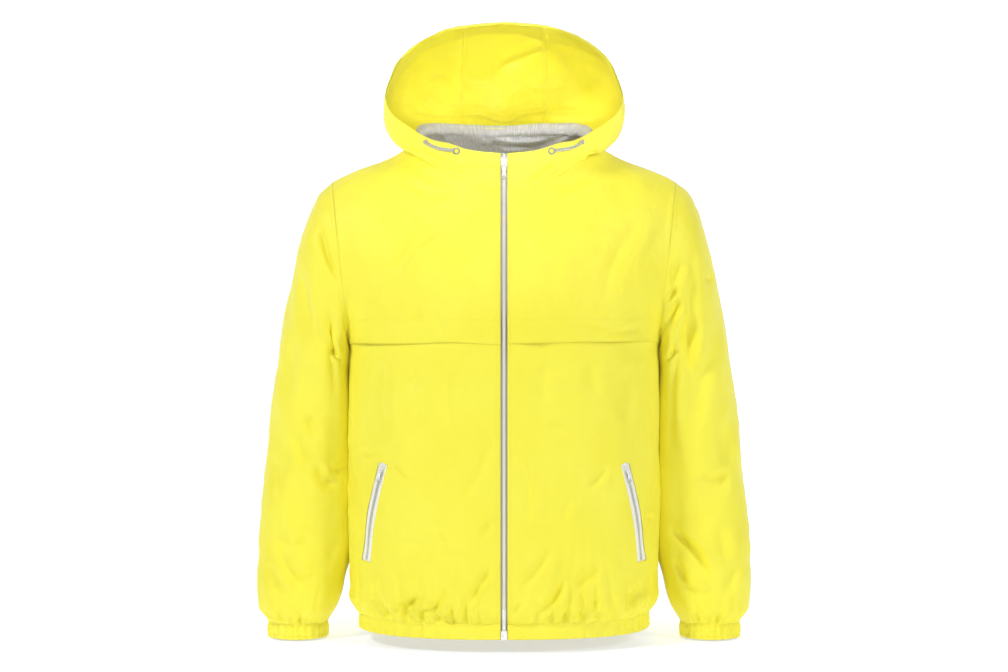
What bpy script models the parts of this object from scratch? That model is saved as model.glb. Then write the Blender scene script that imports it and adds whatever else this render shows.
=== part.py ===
"""Hooded windbreaker, filled out as if worn, with its hood up and open.

Metres, +Z up. The front faces -Y and the wearer's left sleeve is at +X. The origin is where the neck
and shoulders of the wearer hold the garment. Every cloth piece is a thin wall laid along one of three
surfaces (torso, sleeve, hood), and each surface is worked out from the tables below.
"""

import math

import bmesh
import bpy
import numpy as np
from mathutils import Matrix, Vector

# Grid lines that neighbouring pieces share, so that their flat facets lie alike
NECK_STOPS = (0.0, 0.07, 0.14, 0.21, 0.28, 0.35, 0.42)
ACROSS_STOPS = (*NECK_STOPS, 0.52, 0.62, 0.72, 0.82, 0.91, 0.9985)
BODY_STOPS = (0.0015, 0.035, 0.085, 0.16, 0.26, 0.38, 0.50, 0.62, 0.75, 0.87, 0.95)
FLAP_STOPS = (1.055, 1.12, 1.19)
UPPER_STOPS = (1.27, 1.37, 1.48, 1.59, 1.70, 1.80, 1.88, 1.945, 1.998)
SLEEVE_STOPS = (0.001, 0.05, 0.11, 0.18, 0.26, 0.35, 0.44, 0.53, 0.62, 0.71, 0.79, 0.87, 0.93, 0.97, 0.999)
HOOD_DOWN_STOPS = (0.985, 0.90, 0.79, 0.67, 0.54, 0.41, 0.29, 0.18, 0.08, 0.0)
HOOD_SIDE_STOPS = (
    *(0.0, 0.0417, 0.0833, 0.125, 0.1667, 0.2083, 0.25, 0.2917, 0.3333, 0.375, 0.4167),
    *(0.4583, 0.5, 0.5417, 0.5833, 0.6667, 0.75, 0.8333),
)

# Cloth and seams
WALL = 0.0013
LINING_WALL = 0.0010
SEAM = 0.0004
LAYER_GAP = 0.0004
LINING_GAP = 0.0009

# Levels of the body
HEM_BOTTOM_Z = -0.6175
HEM_TOP_Z = -0.5970
UNDERARM_Z = -0.235
SIDE_Y = 0.004
ROUNDNESS = 2.5
BODY_RADIUS = 0.17

# Horizontal sections of the body, from the hem band up to the underarm
BODY_SECTIONS = {
    "z": (-0.597, -0.585, -0.566, -0.510, -0.430, -0.350, -0.235),
    "half_width": (0.2035, 0.2095, 0.2130, 0.2165, 0.2172, 0.2172, 0.2165),
    "front": (0.1275, 0.1345, 0.1375, 0.1390, 0.1395, 0.1400, 0.1400),
    "back": (0.1090, 0.1160, 0.1195, 0.1215, 0.1215, 0.1215, 0.1220),
}

# Neckline: an oval that tilts up towards the back
NECK_HALF_WIDTH = 0.124
NECK_HALF_DEPTH = 0.095
NECK_CENTRE_Y = -0.010
NECK_MIDDLE_Z = 0.0335
NECK_TILT = 0.0465
NECK_SIDE_RISE = 0.025
NECK_SHARE = 0.42
SHOULDER_POINT = Vector((0.241, 0.005, 0.0))
SHOULDER_SAG = 0.020
CORNER_STEPS = (-0.15, -0.10, -0.05, 0.0, 0.05, 0.10, 0.15)
CORNER_HOLD = 7.0

# How a panel leaves the underarm level and arrives at the neckline or the shoulder seam
PANEL_TOP = {
    "across": (0.0, 0.20, 0.42, 0.70, 1.0),
    "both_x": (0.0, -0.02, -0.06, -0.02, 0.0),
    "front_y": (0.060, 0.090, 0.150, 0.215, 0.220),
    "front_z": (0.200, 0.170, 0.085, 0.012, 0.0),
    "back_y": (-0.140, -0.160, -0.170, -0.235, -0.240),
    "back_z": (0.200, 0.160, 0.085, 0.012, 0.0),
}
PANEL_RISE = 0.22
ARMHOLE_LEAVE = Vector((-0.020, 0.36, 0.060))
ARMHOLE_ARRIVE = Vector((0.020, 0.30, 0.0))
CHEST_FULLNESS = 0.008

# Vent flap across the chest: the yoke's free lower edge over the front
FLAP_EDGE = FLAP_STOPS[0] - 1.0
FRONT_TOP = FLAP_STOPS[-1] - 1.0
TUCK_START = 0.950
TUCK_FULL = 1.0
FLAP_WAVES = {
    "across": (0.16, 0.36, 0.64),
    "width": (0.08, 0.12, 0.14),
    "lift": (0.0010, 0.0032, 0.0024),
}

# Sleeve sections from the armhole to the cuff: where the outer and the inner side lie
SLEEVE_SECTIONS = {
    "along": (0.0, 0.06, 0.14, 0.24, 0.36, 0.50, 0.64, 0.78, 0.88, 0.95, 1.0),
    "outer_x": (0.241, 0.2585, 0.2725, 0.2865, 0.3015, 0.3180, 0.3310, 0.3410, 0.3455, 0.3445, 0.3300),
    "outer_z": (0.0, -0.016, -0.045, -0.090, -0.150, -0.240, -0.340, -0.450, -0.528, -0.580, -0.6125),
    "inner_x": (0.2165, 0.2200, 0.2205, 0.2180, 0.2130, 0.2080, 0.2060, 0.2100, 0.2215, 0.2300, 0.2460),
    "inner_z": (-0.235, -0.242, -0.252, -0.268, -0.295, -0.345, -0.410, -0.490, -0.545, -0.583, -0.6125),
    "centre_y": (0.005, 0.006, 0.009, 0.014, 0.022, 0.030, 0.031, 0.024, 0.013, 0.006, 0.002),
    "half_depth": (0.085, 0.084, 0.083, 0.082, 0.080, 0.076, 0.070, 0.063, 0.058, 0.051, 0.0385),
}
SLEEVE_CLEAR = 0.0018
SLEEVE_ROUNDNESS = 2.3
SLEEVE_LENGTH = 0.6
SLEEVE_RADIUS = 0.062

# Cuff and hem band, gathered on elastic
CUFF_TOP_Z = -0.6122
CUFF_BOTTOM_Z = -0.6340
CUFF_CENTRE = Vector((0.288, 0.002, 0.0))
CUFF_HALF_WIDTH = 0.0420
CUFF_HALF_DEPTH = 0.0384
CUFF_WALL = 0.0016
CUFF_GATHERS = 24
CUFF_GATHER_DEPTH = 0.0012
HEM_GATHERS = 62
HEM_GATHER_DEPTH = 0.0013
HEM_PLAIN = 18.0
HEM_TURN = 180.0 / HEM_GATHERS

# Large soft folds of the body and sleeve, as troughs: place across and up, size and depth
BODY_FOLDS = {
    "turn": (28.0, 62.0, 48.0, 118.0, 150.0, 205.0),
    "z": (-0.545, -0.470, -0.330, -0.500, -0.340, -0.540),
    "slope": (0.55, -0.50, 0.25, 0.45, -0.30, 0.20),
    "half_length": (0.080, 0.090, 0.100, 0.100, 0.120, 0.080),
    "half_width": (0.018, 0.020, 0.024, 0.022, 0.026, 0.020),
    "depth": (0.0035, 0.0030, 0.0022, 0.0040, 0.0035, 0.0030),
}
SLEEVE_FOLDS = {
    "along": (0.30, 0.45, 0.60, 0.72, 0.86, 0.40),
    "turn": (110.0, 60.0, 150.0, 70.0, 120.0, 280.0),
    "slope": (0.9, -0.8, 0.7, -0.6, 0.8, 0.7),
    "half_length": (0.070, 0.080, 0.080, 0.070, 0.060, 0.090),
    "half_width": (0.018, 0.018, 0.018, 0.016, 0.014, 0.020),
    "depth": (0.0035, 0.0035, 0.0040, 0.0040, 0.0035, 0.0040),
}

# Hood: its face opening, its two inner control lines, then the neckline. The share runs from the zip
# round to the middle of the back.
HOOD_LINES = {
    "share": (0.0, 0.108, 0.183, 0.237, 0.329, 0.413, 0.474, 0.530, 0.622, 0.709, 0.798, 0.888, 1.0),
    "rim_x": (
        *(0.0053, 0.0470, 0.0757, 0.0975, 0.128, 0.1535, 0.1637),
        *(0.160, 0.144, 0.1178, 0.0846, 0.0472, 0.0),
    ),
    "rim_y": (
        *(-0.100, -0.098, -0.093, -0.087, -0.070, -0.055, -0.045),
        *(-0.038, -0.030, -0.025, -0.022, -0.020, -0.020),
    ),
    "rim_z": (
        *(0.034, 0.0386, 0.0483, 0.0528, 0.070, 0.0893, 0.1108),
        *(0.1334, 0.1675, 0.193, 0.210, 0.2186, 0.2227),
    ),
}
HOOD_BODY = {
    "share": (0.0, 0.183, 0.33, 0.50, 0.70, 0.87, 1.0),
    "fore_x": (0.0053, 0.081, 0.142, 0.170, 0.135, 0.058, 0.0),
    "fore_y": (-0.102, -0.094, -0.060, -0.006, 0.055, 0.100, 0.112),
    "fore_z": (0.020, 0.040, 0.058, 0.100, 0.210, 0.252, 0.258),
    "aft_x": (0.0053, 0.078, 0.134, 0.176, 0.168, 0.072, 0.0),
    "aft_y": (-0.104, -0.095, -0.060, 0.016, 0.110, 0.186, 0.204),
    "aft_z": (0.004, 0.020, 0.026, 0.048, 0.064, 0.066, 0.066),
}
HOOD_SEAM_SHARE = 0.870
HOOD_SEAM_GAP = 0.0006
HOOD_CENTRE_STOPS = (-0.0833, -0.0417, 0.0, 0.0417, 0.0833)
HOOD_HEM_WIDTH = 0.018
HOOD_HEM_DROP = 0.0010

# Zips
ZIP_HALF = 0.0053
ZIP_CHAIN_HALF = 0.0026
ZIP_TAPE_HALF = 0.0100
ZIP_TAPE_THICK = 0.0008
POCKET_TOP = Vector((0.1630, 0.0, -0.3840))
POCKET_END = Vector((0.1890, 0.0, -0.5180))
POCKET_BOW = 0.003
POCKET_SLIT_HALF = 0.0048
POCKET_CHAIN_HALF = 0.0018
POCKET_TAPE_HALF = 0.0110
SLIT_DEPTH = 0.006
ZIP_BOX = (0.0085, 0.0120)
ZIP_BOX_RISE = 0.0014
MAIN_SLIDER_Z = 0.0215
MAIN_SCALE = 1.0
POCKET_SCALE = 0.82

# Slider and pull tab, at the main zip's size: plate, bail over the pull's bar, and the tab
SLIDER_WIDTH = 0.0095
SLIDER_LENGTH = 0.0140
SLIDER_TAPER = 0.78
SLIDER_CORNER = 0.0024
SLIDER_RISE = (0.0005, 0.0026)
PIVOT_RISE = 0.0044
BAIL_HALF_WIDTH = 0.0011
BAIL_INNER = 0.0032
BAIL_OUTER = 0.0043
BAIL_RISE = (0.0058, 0.0068)
PULL_THICK = 0.0011
PULL_OUTLINE = {
    "down": (-0.0007, 0.0010, 0.0068, 0.0125, 0.0165, 0.0195, 0.0225, 0.0240),
    "half_width": (0.0024, 0.0031, 0.0031, 0.0022, 0.0025, 0.0034, 0.0030, 0.0014),
}
PULL_EYE = (0.0017, 0.0007, 0.0056)
PULL_HOLE = (0.0017, 0.0011, 0.0198)

# Draw cord at the hood's front: its route as places on the hood, share round and share down
CORD_DIAMETER = 0.0045
CORD_ROUTE = (
    *((0.156, 0.23), (0.170, 0.26), (0.185, 0.28), (0.200, 0.28)),
    *((0.215, 0.26), (0.230, 0.22), (0.240, 0.18)),
)
CORD_REST = 0.0006
CORD_LIFT = 0.0016
CORD_POINTS = 9
KNOT_RADIUS = 0.0036
KNOT_LIFT = 0.0012
EYELET_PLACE = (0.148, 0.22)
EYELET_RADIUS = 0.0052
EYELET_HOLE = 0.0030
EYELET_THICK = 0.0011

COLOURS = {
    "shell": ((0.98, 0.88, 0.085, 1.0), 0.62, 0.0),
    "lining": ((0.52, 0.51, 0.48, 1.0), 0.90, 0.0),
    "zip_tape": ((0.60, 0.58, 0.42, 1.0), 0.85, 0.0),
    "pocket_tape": ((0.93, 0.90, 0.62, 1.0), 0.80, 0.0),
    "teeth": ((0.72, 0.71, 0.66, 1.0), 0.40, 0.3),
    "metal": ((0.86, 0.86, 0.85, 1.0), 0.28, 0.9),
    "cord": ((0.58, 0.56, 0.52, 1.0), 0.90, 0.0),
}


def clear_scene():
    for thing in list(bpy.data.objects):
        bpy.data.objects.remove(thing, do_unlink=True)


def material(name):
    found = bpy.data.materials.get(name)
    if found:
        return found
    colour, roughness, metallic = COLOURS[name]
    made = bpy.data.materials.new(name)
    made.use_nodes = True
    shader = made.node_tree.nodes["Principled BSDF"]
    shader.inputs["Base Color"].default_value = colour
    shader.inputs["Roughness"].default_value = roughness
    shader.inputs["Metallic"].default_value = metallic
    made.diffuse_color = colour
    return made


def add_object(name, bm, finish, parent=None):
    """The finished bmesh as a smooth-shaded object with its own material."""
    bmesh.ops.recalc_face_normals(bm, faces=bm.faces)
    if bm.calc_volume(signed=True) < 0.0:
        bmesh.ops.reverse_faces(bm, faces=bm.faces)
    mesh = bpy.data.meshes.new(name)
    bm.to_mesh(mesh)
    bm.free()
    mesh.shade_smooth()
    mesh.set_sharp_from_angle(angle=math.radians(40))
    mesh.materials.append(material(finish))
    thing = bpy.data.objects.new(name, mesh)
    bpy.context.scene.collection.objects.link(thing)
    thing.parent = parent
    return thing


def smooth_step(low, high, value):
    share = min(1.0, max(0.0, (value - low) / (high - low)))
    return share * share * (3.0 - 2.0 * share)


def read_table(table, key, value):
    """Every other column of the table at value, on a smooth curve through its rows."""
    places = table[key]
    at = min(len(places) - 2, max(0, int(np.searchsorted(places, value)) - 1))
    span = places[at + 1] - places[at]
    share = (value - places[at]) / span
    found = {}
    for name, column in table.items():
        if name == key:
            continue
        slopes = []
        for row in (at, at + 1):
            before, after = max(0, row - 1), min(len(places) - 1, row + 1)
            slopes.append((column[after] - column[before]) / (places[after] - places[before]))
        found[name] = hermite(column[at], slopes[0] * span, column[at + 1], slopes[1] * span, share)
    return found


def hermite(start, leave, end, arrive, share):
    square, cube = share * share, share**3
    return (
        start * (2 * cube - 3 * square + 1)
        + leave * (cube - 2 * square + share)
        + end * (3 * square - 2 * cube)
        + arrive * (cube - square)
    )


def trough(across, along, fold, row):
    """Depth of one soft fold at a distance across and along from its middle."""
    slope = math.atan(fold["slope"][row])
    down = along * math.cos(slope) - across * math.sin(slope)
    side = across * math.cos(slope) + along * math.sin(slope)
    length, width = fold["half_length"][row], fold["half_width"][row]
    return fold["depth"][row] * math.exp(-((side / width) ** 2) - (down / length) ** 2)


# The torso surface


def body_section(turn, z):
    """A point of the body's horizontal section. Turn is 0 at the zip, 90 at the side, 180 at the back."""
    row = read_table(BODY_SECTIONS, "z", z)
    angle = math.radians(turn)
    sine, cosine = math.sin(angle), math.cos(angle)
    reach = (abs(sine) ** ROUNDNESS + abs(cosine) ** ROUNDNESS) ** (-1.0 / ROUNDNESS)
    depth = row["front"] if cosine > 0 else row["back"]
    widen = ZIP_HALF * max(0.0, 1.0 - turn / 90.0) ** 4
    point = Vector((row["half_width"] * sine * reach + widen, SIDE_Y - depth * cosine * reach, z))
    inward = 0.0
    for fold in range(len(BODY_FOLDS["turn"])):
        across = math.radians(turn - BODY_FOLDS["turn"][fold]) * BODY_RADIUS
        inward += trough(across, z - BODY_FOLDS["z"][fold], BODY_FOLDS, fold)
    inward *= smooth_step(0.0, 16.0, turn) * smooth_step(0.0, 16.0, 180.0 - turn)
    inward *= smooth_step(HEM_TOP_Z, HEM_TOP_Z + 0.02, z) * smooth_step(UNDERARM_Z, UNDERARM_Z - 0.05, z)
    outward = Vector((point.x, point.y - SIDE_Y, 0.0)).normalized()
    return point - outward * inward


def neckline(turn):
    """The neckline as the body's grid lines draw it, straight between them."""
    step = 90.0 * NECK_STOPS[1] / NECK_SHARE
    low = min(180.0 - step, step * math.floor(turn / step + 1e-6))
    return neck_oval(low).lerp(neck_oval(low + step), (turn - low) / step)


def neck_oval(turn):
    angle = math.radians(turn)
    widen = ZIP_HALF * max(0.0, 1.0 - turn / 90.0) ** 4
    return Vector(
        (
            NECK_HALF_WIDTH * math.sin(angle) + widen,
            NECK_CENTRE_Y - NECK_HALF_DEPTH * math.cos(angle),
            NECK_MIDDLE_Z - NECK_TILT * math.cos(angle) + NECK_SIDE_RISE * math.sin(angle) ** 2,
        )
    )


def panel_top(across, front):
    """The neckline as far as the side of the neck, then the shoulder seam."""
    if across < NECK_SHARE:
        turn = 90.0 * across / NECK_SHARE
        return neckline(turn if front else 180.0 - turn)
    share = (across - NECK_SHARE) / (1.0 - NECK_SHARE)
    sag = SHOULDER_SAG * math.sin(math.pi * share) * (1.0 - share) ** 2
    return neckline(90.0).lerp(SHOULDER_POINT, share) - Vector((0.0, 0.0, sag))


def rounded_top(across, front):
    """The panel's top with the corner at the side of the neck rounded off, for the cloth below it."""
    total = Vector()
    for step in CORNER_STEPS:
        place = across + step
        if place > 1.0:
            total += panel_top(1.0, front) * 2.0 - panel_top(2.0 - place, front)
        else:
            total += panel_top(max(0.0, place), front)
    return panel_top(across, front).lerp(total / len(CORNER_STEPS), smooth_step(0.04, 0.26, across))


def armhole(share, front):
    """From the underarm, at 0, up to the shoulder point, at 1."""
    side = -1.0 if front else 1.0
    leave = Vector((ARMHOLE_LEAVE.x, side * ARMHOLE_LEAVE.y, ARMHOLE_LEAVE.z))
    arrive = Vector((ARMHOLE_ARRIVE.x, -side * ARMHOLE_ARRIVE.y, ARMHOLE_ARRIVE.z))
    underarm = body_section(90.0, UNDERARM_Z)
    return hermite(underarm, leave, SHOULDER_POINT, arrive, share)


def upper_column(across, up, front):
    turn = 90.0 * across if front else 180.0 - 90.0 * across
    row = read_table(PANEL_TOP, "across", across)
    side = "front" if front else "back"
    arrive = Vector((row["both_x"], row[side + "_y"], row[side + "_z"]))
    leave = Vector((0.0, 0.0, PANEL_RISE))
    rounded = rounded_top(across, front)
    corner = (panel_top(across, front) - rounded) * up**CORNER_HOLD
    return hermite(body_section(turn, UNDERARM_Z), leave, rounded, arrive, up) + corner


def torso(across, height, front):
    """Across runs from the middle to the side. Height is 0 at the hem band, 1 at the underarm, 2 on top."""
    if height <= 1.0:
        turn = 90.0 * across if front else 180.0 - 90.0 * across
        return body_section(turn, HEM_TOP_Z + (UNDERARM_Z - HEM_TOP_Z) * height)
    up = height - 1.0
    reach = across ** (1.5 + 5.0 * (1.0 - up) ** 3)
    point = upper_column(across, up, front)
    point += (armhole(up, front) - upper_column(1.0, up, front)) * reach
    fullness = CHEST_FULLNESS * math.sin(math.pi * up) ** 2 * math.sin(math.pi * across) ** 2
    return point + Vector((0.0, -fullness if front else fullness, 0.0))


# The sleeve surface


def body_clearance(point):
    """The least x that keeps a point clear of the body's side at its height."""
    row = read_table(BODY_SECTIONS, "z", min(UNDERARM_Z, max(HEM_TOP_Z, point.z)))
    depth = row["front"] if point.y < SIDE_Y else row["back"]
    share = min(1.0, abs(point.y - SIDE_Y) / depth)
    return row["half_width"] * (1.0 - share**ROUNDNESS) ** (1.0 / ROUNDNESS) + SLEEVE_CLEAR


def sleeve_section(turn, along):
    """Turn is 0 at the outer side, 90 at the front, 180 at the inner side, 270 at the back."""
    row = read_table(SLEEVE_SECTIONS, "along", along)
    angle = math.radians(turn)
    outer = Vector((row["outer_x"], 0.0, row["outer_z"]))
    inner = Vector((row["inner_x"], 0.0, row["inner_z"]))
    middle = (outer + inner) * 0.5
    middle.y = row["centre_y"]
    sine, cosine = math.sin(angle), math.cos(angle)
    power = SLEEVE_ROUNDNESS
    reach = (abs(sine) ** power + abs(cosine) ** power) ** (-1.0 / power)
    forward = Vector((0.0, -row["half_depth"] * sine * reach, 0.0))
    return middle + (outer - inner) * 0.5 * cosine * reach + forward


def sleeve(turn, along):
    point = sleeve_section(turn, along)
    turn = turn % 360.0
    front = turn <= 180.0
    share = 1.0 - turn / 180.0 if front else turn / 180.0 - 1.0
    # near the armhole the section turns into the armhole's own curve
    blend = (1.0 - smooth_step(0.0, 0.24, along)) ** 1.5
    point = point + (armhole(share, front) - sleeve_section(turn, 0.0)) * blend
    if along > 0.02:
        least = body_clearance(point)
        if point.x < least and point.z < UNDERARM_Z:
            point.x = least
    inward = 0.0
    for fold in range(len(SLEEVE_FOLDS["turn"])):
        away = (turn - SLEEVE_FOLDS["turn"][fold] + 180.0) % 360.0 - 180.0
        across = math.radians(away) * SLEEVE_RADIUS
        inward += trough(across, (along - SLEEVE_FOLDS["along"][fold]) * SLEEVE_LENGTH, SLEEVE_FOLDS, fold)
    inward *= smooth_step(0.08, 0.2, along) * smooth_step(1.0, 0.92, along)
    row = read_table(SLEEVE_SECTIONS, "along", along)
    middle = Vector(((row["outer_x"] + row["inner_x"]) / 2, row["centre_y"], point.z))
    outward = (point - middle).normalized()
    if outward.x < -0.3:
        inward *= max(0.0, 1.0 + (outward.x + 0.3) * 2.0)
    return point - outward * inward


# The hood surface


def hood(share, down):
    """Share runs from the zip to the middle of the back, down from the face opening to the neckline."""
    rim = read_table(HOOD_LINES, "share", share)
    body = read_table(HOOD_BODY, "share", share)
    points = (
        Vector((rim["rim_x"], rim["rim_y"], rim["rim_z"])),
        Vector((body["fore_x"], body["fore_y"], body["fore_z"])),
        Vector((body["aft_x"], body["aft_y"], body["aft_z"])),
        neckline(180.0 * share),
    )
    up = 1.0 - down
    weights = (up**3, 3 * up * up * down, 3 * up * down * down, down**3)
    total = Vector()
    for point, weight in zip(points, weights):
        total += point * weight
    if share == 0.0:
        total.x = ZIP_HALF
    return total


def hood_hem_reach(share):
    """How far down the hood's own hem reaches at a share round the face opening."""
    rim = hood(share, 0.0)
    return min(0.42, HOOD_HEM_WIDTH / ((hood(share, 0.02) - rim).length / 0.02))


# Walls of cloth


def mirrored(surface, side):
    """The surface of the wearer's left, or the same turned over for the right."""

    def turned(u, v):
        point = surface(u, v)
        return Vector((point.x * side, point.y, point.z))

    return turned


def normal_at(surface, us, vs, u, v):
    """The normal from small steps along both directions, kept inside the surface's ends."""
    step_u, step_v = (max(us) - min(us)) * 0.004, (max(vs) - min(vs)) * 0.004
    low_u, high_u = max(min(us), u - step_u), min(max(us), u + step_u)
    low_v, high_v = max(min(vs), v - step_v), min(max(vs), v + step_v)
    along_u = surface(high_u, v) - surface(low_u, v)
    along_v = surface(u, high_v) - surface(u, low_v)
    return along_u.cross(along_v).normalized()


def wall(name, surface, us, vs, outer, inner, finish, flip=False, closed=False):
    """A closed wall between two offsets of surface(u, v), with a grid line at each stop in us and vs.

    Offsets are distances along the normal, numbers or functions of u and v. Flip turns the normal round.
    """
    bm = bmesh.new()
    columns, rows = len(us) - 1, len(vs) - 1
    bmesh.ops.create_grid(bm, x_segments=columns, y_segments=rows, size=0.5)
    place = {}
    mark = bm.verts.layers.int.new("place")
    for number, vert in enumerate(bm.verts):
        vert[mark] = number
        place[number] = (round((vert.co.x + 0.5) * columns), round((vert.co.y + 0.5) * rows))
    made = bmesh.ops.extrude_face_region(bm, geom=list(bm.faces))
    lifted = {item for item in made["geom"] if isinstance(item, bmesh.types.BMVert)}
    turn = -1.0 if flip else 1.0
    for vert in bm.verts:
        column, row = place[vert[mark]]
        u, v = us[column % columns if closed else column], vs[row]
        offset = outer if vert in lifted else inner
        distance = offset(u, v) if callable(offset) else offset
        vert.co = surface(u, v) + normal_at(surface, us, vs, u, v) * turn * distance
    if closed:
        ends = [face for face in bm.faces if len({place[vert[mark]][0] for vert in face.verts} - {0}) == 0]
        ends += [face for face in bm.faces if {place[vert[mark]][0] for vert in face.verts} == {columns}]
        bmesh.ops.delete(bm, geom=ends, context="FACES_ONLY")
        bmesh.ops.remove_doubles(bm, verts=bm.verts, dist=1e-6)
    return add_object(name, bm, finish)


def both_sides(build):
    """Runs a function for the wearer's left, then for the right."""
    for side, label in ((1, "left"), (-1, "right")):
        build(side, label)


def span(low, high, share):
    return low + (high - low) * share


def even_stops(low, high, count):
    return [span(low, high, at / count) for at in range(count + 1)]


def faceted(surface, us, vs):
    """The surface as its own grid of facets draws it, for what lies against a piece."""

    def flat(u, v):
        column = min(len(us) - 2, max(0, int(np.searchsorted(us, u)) - 1))
        row = min(len(vs) - 2, max(0, int(np.searchsorted(vs, v)) - 1))
        along_u = (u - us[column]) / (us[column + 1] - us[column])
        along_v = (v - vs[row]) / (vs[row + 1] - vs[row])
        low = surface(us[column], vs[row]).lerp(surface(us[column + 1], vs[row]), along_u)
        high = surface(us[column], vs[row + 1]).lerp(surface(us[column + 1], vs[row + 1]), along_u)
        return low.lerp(high, along_v)

    return flat


# Pieces of the body


def front_surface(across, height):
    return torso(across, height, True)


def back_surface(across, height):
    """The back, from the wearer's right side seam, at -1, to the left, at 1."""
    point = torso(abs(across), height, False)
    return Vector((math.copysign(point.x, across), point.y, point.z))


def flap_lift(across, height):
    """How far the yoke's free edge waves away from the front under it."""
    loose = 1.0 - smooth_step(FLAP_EDGE, FRONT_TOP, height - 1.0)
    lift = 0.0
    for row in range(len(FLAP_WAVES["across"])):
        away = (across - FLAP_WAVES["across"][row]) / FLAP_WAVES["width"][row]
        lift += FLAP_WAVES["lift"][row] * math.exp(-away * away) * loose
    return lift


def yoke_under(across, height):
    return flap_lift(across, height) - WALL


def front_tuck(across, height):
    """The front's top edge steps in by a layer where the yoke lies over it."""
    return -(WALL + LAYER_GAP) * smooth_step(TUCK_START, TUCK_FULL, height)


def front_under(across, height):
    return front_tuck(across, height) - WALL


FRONT_HEIGHTS = (*BODY_STOPS, *FLAP_STOPS)
YOKE_HEIGHTS = (*FLAP_STOPS, *UPPER_STOPS)
BACK_HEIGHTS = (*BODY_STOPS, *FLAP_STOPS, *UPPER_STOPS)
WHOLE_ACROSS = (*(-stop for stop in reversed(ACROSS_STOPS[1:])), *ACROSS_STOPS)


def make_front(side, label):
    surface = mirrored(front_surface, side)
    flip, across = side < 0, ACROSS_STOPS
    panel = wall(f"front_{label}", surface, across, FRONT_HEIGHTS, front_tuck, front_under, "shell", flip)
    cut_slit(panel, side, label)
    wall(f"yoke_{label}", surface, across, YOKE_HEIGHTS, flap_lift, yoke_under, "shell", flip)


def make_back():
    wall("back", back_surface, WHOLE_ACROSS, BACK_HEIGHTS, 0.0, -WALL, "shell", flip=True)


def hem_surface(turn, height):
    """The hem band, from the zip round the wearer's left side, the back and the right side."""
    folded = turn if turn <= 180.0 else 360.0 - turn
    point = body_section(folded, HEM_TOP_Z)
    plain = smooth_step(HEM_PLAIN, HEM_PLAIN + 14.0, folded)
    wave = math.cos(math.pi * round(turn / HEM_TURN)) * HEM_GATHER_DEPTH * plain
    outward = Vector((point.x, point.y - SIDE_Y, 0.0)).normalized()
    point = point + outward * (wave - HEM_GATHER_DEPTH * plain)
    point.z = span(HEM_BOTTOM_Z, HEM_TOP_Z - SEAM, height)
    if turn > 180.0:
        point.x = -point.x
    return point


def make_hem():
    turns = even_stops(0.0, 360.0, HEM_GATHERS * 2)
    wall("hem_band", hem_surface, turns, (0.0, 1.0), 0.0, -WALL, "shell")


def sleeve_turns():
    """Stops round the sleeve that meet the grid lines of the front and the back at the armhole."""
    shares = [stop - 1.0 for stop in (*FLAP_STOPS, *UPPER_STOPS[:-1])]
    front = [180.0 * (1.0 - share) for share in reversed(shares)]
    back = [180.0 + 180.0 * share for share in shares]
    return (0.0, *front, 180.0, *back, 360.0)


def make_sleeve(side, label):
    def inner(turn, along):
        return -SEAM - (WALL - SEAM) * smooth_step(0.0, 0.05, along)

    surface = mirrored(sleeve, side)
    wall(f"sleeve_{label}", surface, sleeve_turns(), SLEEVE_STOPS, 0.0, inner, "shell", side < 0, closed=True)


def cuff_surface(turn, height):
    angle = math.radians(turn)
    wave = 1.0 + CUFF_GATHER_DEPTH / CUFF_HALF_WIDTH * math.cos(CUFF_GATHERS * angle)
    across, depth = CUFF_HALF_WIDTH * wave * math.cos(angle), CUFF_HALF_DEPTH * wave * math.sin(angle)
    return CUFF_CENTRE + Vector((across, -depth, span(CUFF_BOTTOM_Z, CUFF_TOP_Z - SEAM, height)))


def make_cuff(side, label):
    turns = even_stops(0.0, 360.0, CUFF_GATHERS * 2)
    surface = mirrored(cuff_surface, side)
    wall(f"cuff_{label}", surface, turns, (0.0, 1.0), 0.0, -CUFF_WALL, "shell", side > 0, closed=True)


# Pieces of the hood and lining


def make_hood_side(side, label):
    shares = (*HOOD_SIDE_STOPS, HOOD_SEAM_SHARE - HOOD_SEAM_GAP)
    wall(f"hood_{label}", mirrored(hood, side), shares, HOOD_DOWN_STOPS, 0.0, -WALL, "shell", side > 0)


def hood_middle(across, down):
    point = hood(1.0 - abs(across), down)
    return Vector((math.copysign(point.x, across), point.y, point.z))


def make_hood_centre():
    edge = 1.0 - HOOD_SEAM_SHARE - HOOD_SEAM_GAP
    stops = (-edge, *HOOD_CENTRE_STOPS, edge)
    wall("hood_centre", hood_middle, stops, HOOD_DOWN_STOPS, 0.0, -WALL, "shell")


def make_hood_hem(side, label):
    """The channel for the draw cord, turned to the inside of the face opening."""

    def surface(share, part):
        return hood(share, hood_hem_reach(share) * part)

    def top(share, part):
        return -WALL - LINING_GAP - HOOD_HEM_DROP * smooth_step(0.70, 0.85, share)

    def under(share, part):
        return top(share, part) - WALL

    shares = (*HOOD_SIDE_STOPS[1:], HOOD_SEAM_SHARE, 0.9167, 0.9583, 0.999)
    wall(f"hood_hem_{label}", mirrored(surface, side), shares, (1.0, 0.5, 0.0), top, under, "shell", side > 0)


def make_lining(side, label):
    across = (*ACROSS_STOPS[1:-1], 0.985)
    heights = (*UPPER_STOPS[4:-1], 1.985)
    top = -WALL - LINING_GAP
    under = top - LINING_WALL
    front = mirrored(front_surface, side)
    wall(f"lining_front_{label}", front, across, heights, top, under, "lining", side < 0)


def make_back_lining():
    across = (-0.985, *WHOLE_ACROSS[1:-1], 0.985)
    heights = (*UPPER_STOPS[3:-1], 1.985)
    top = -WALL - LINING_GAP
    wall("lining_back", back_surface, across, heights, top, top - LINING_WALL, "lining", flip=True)


# Zips


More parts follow.
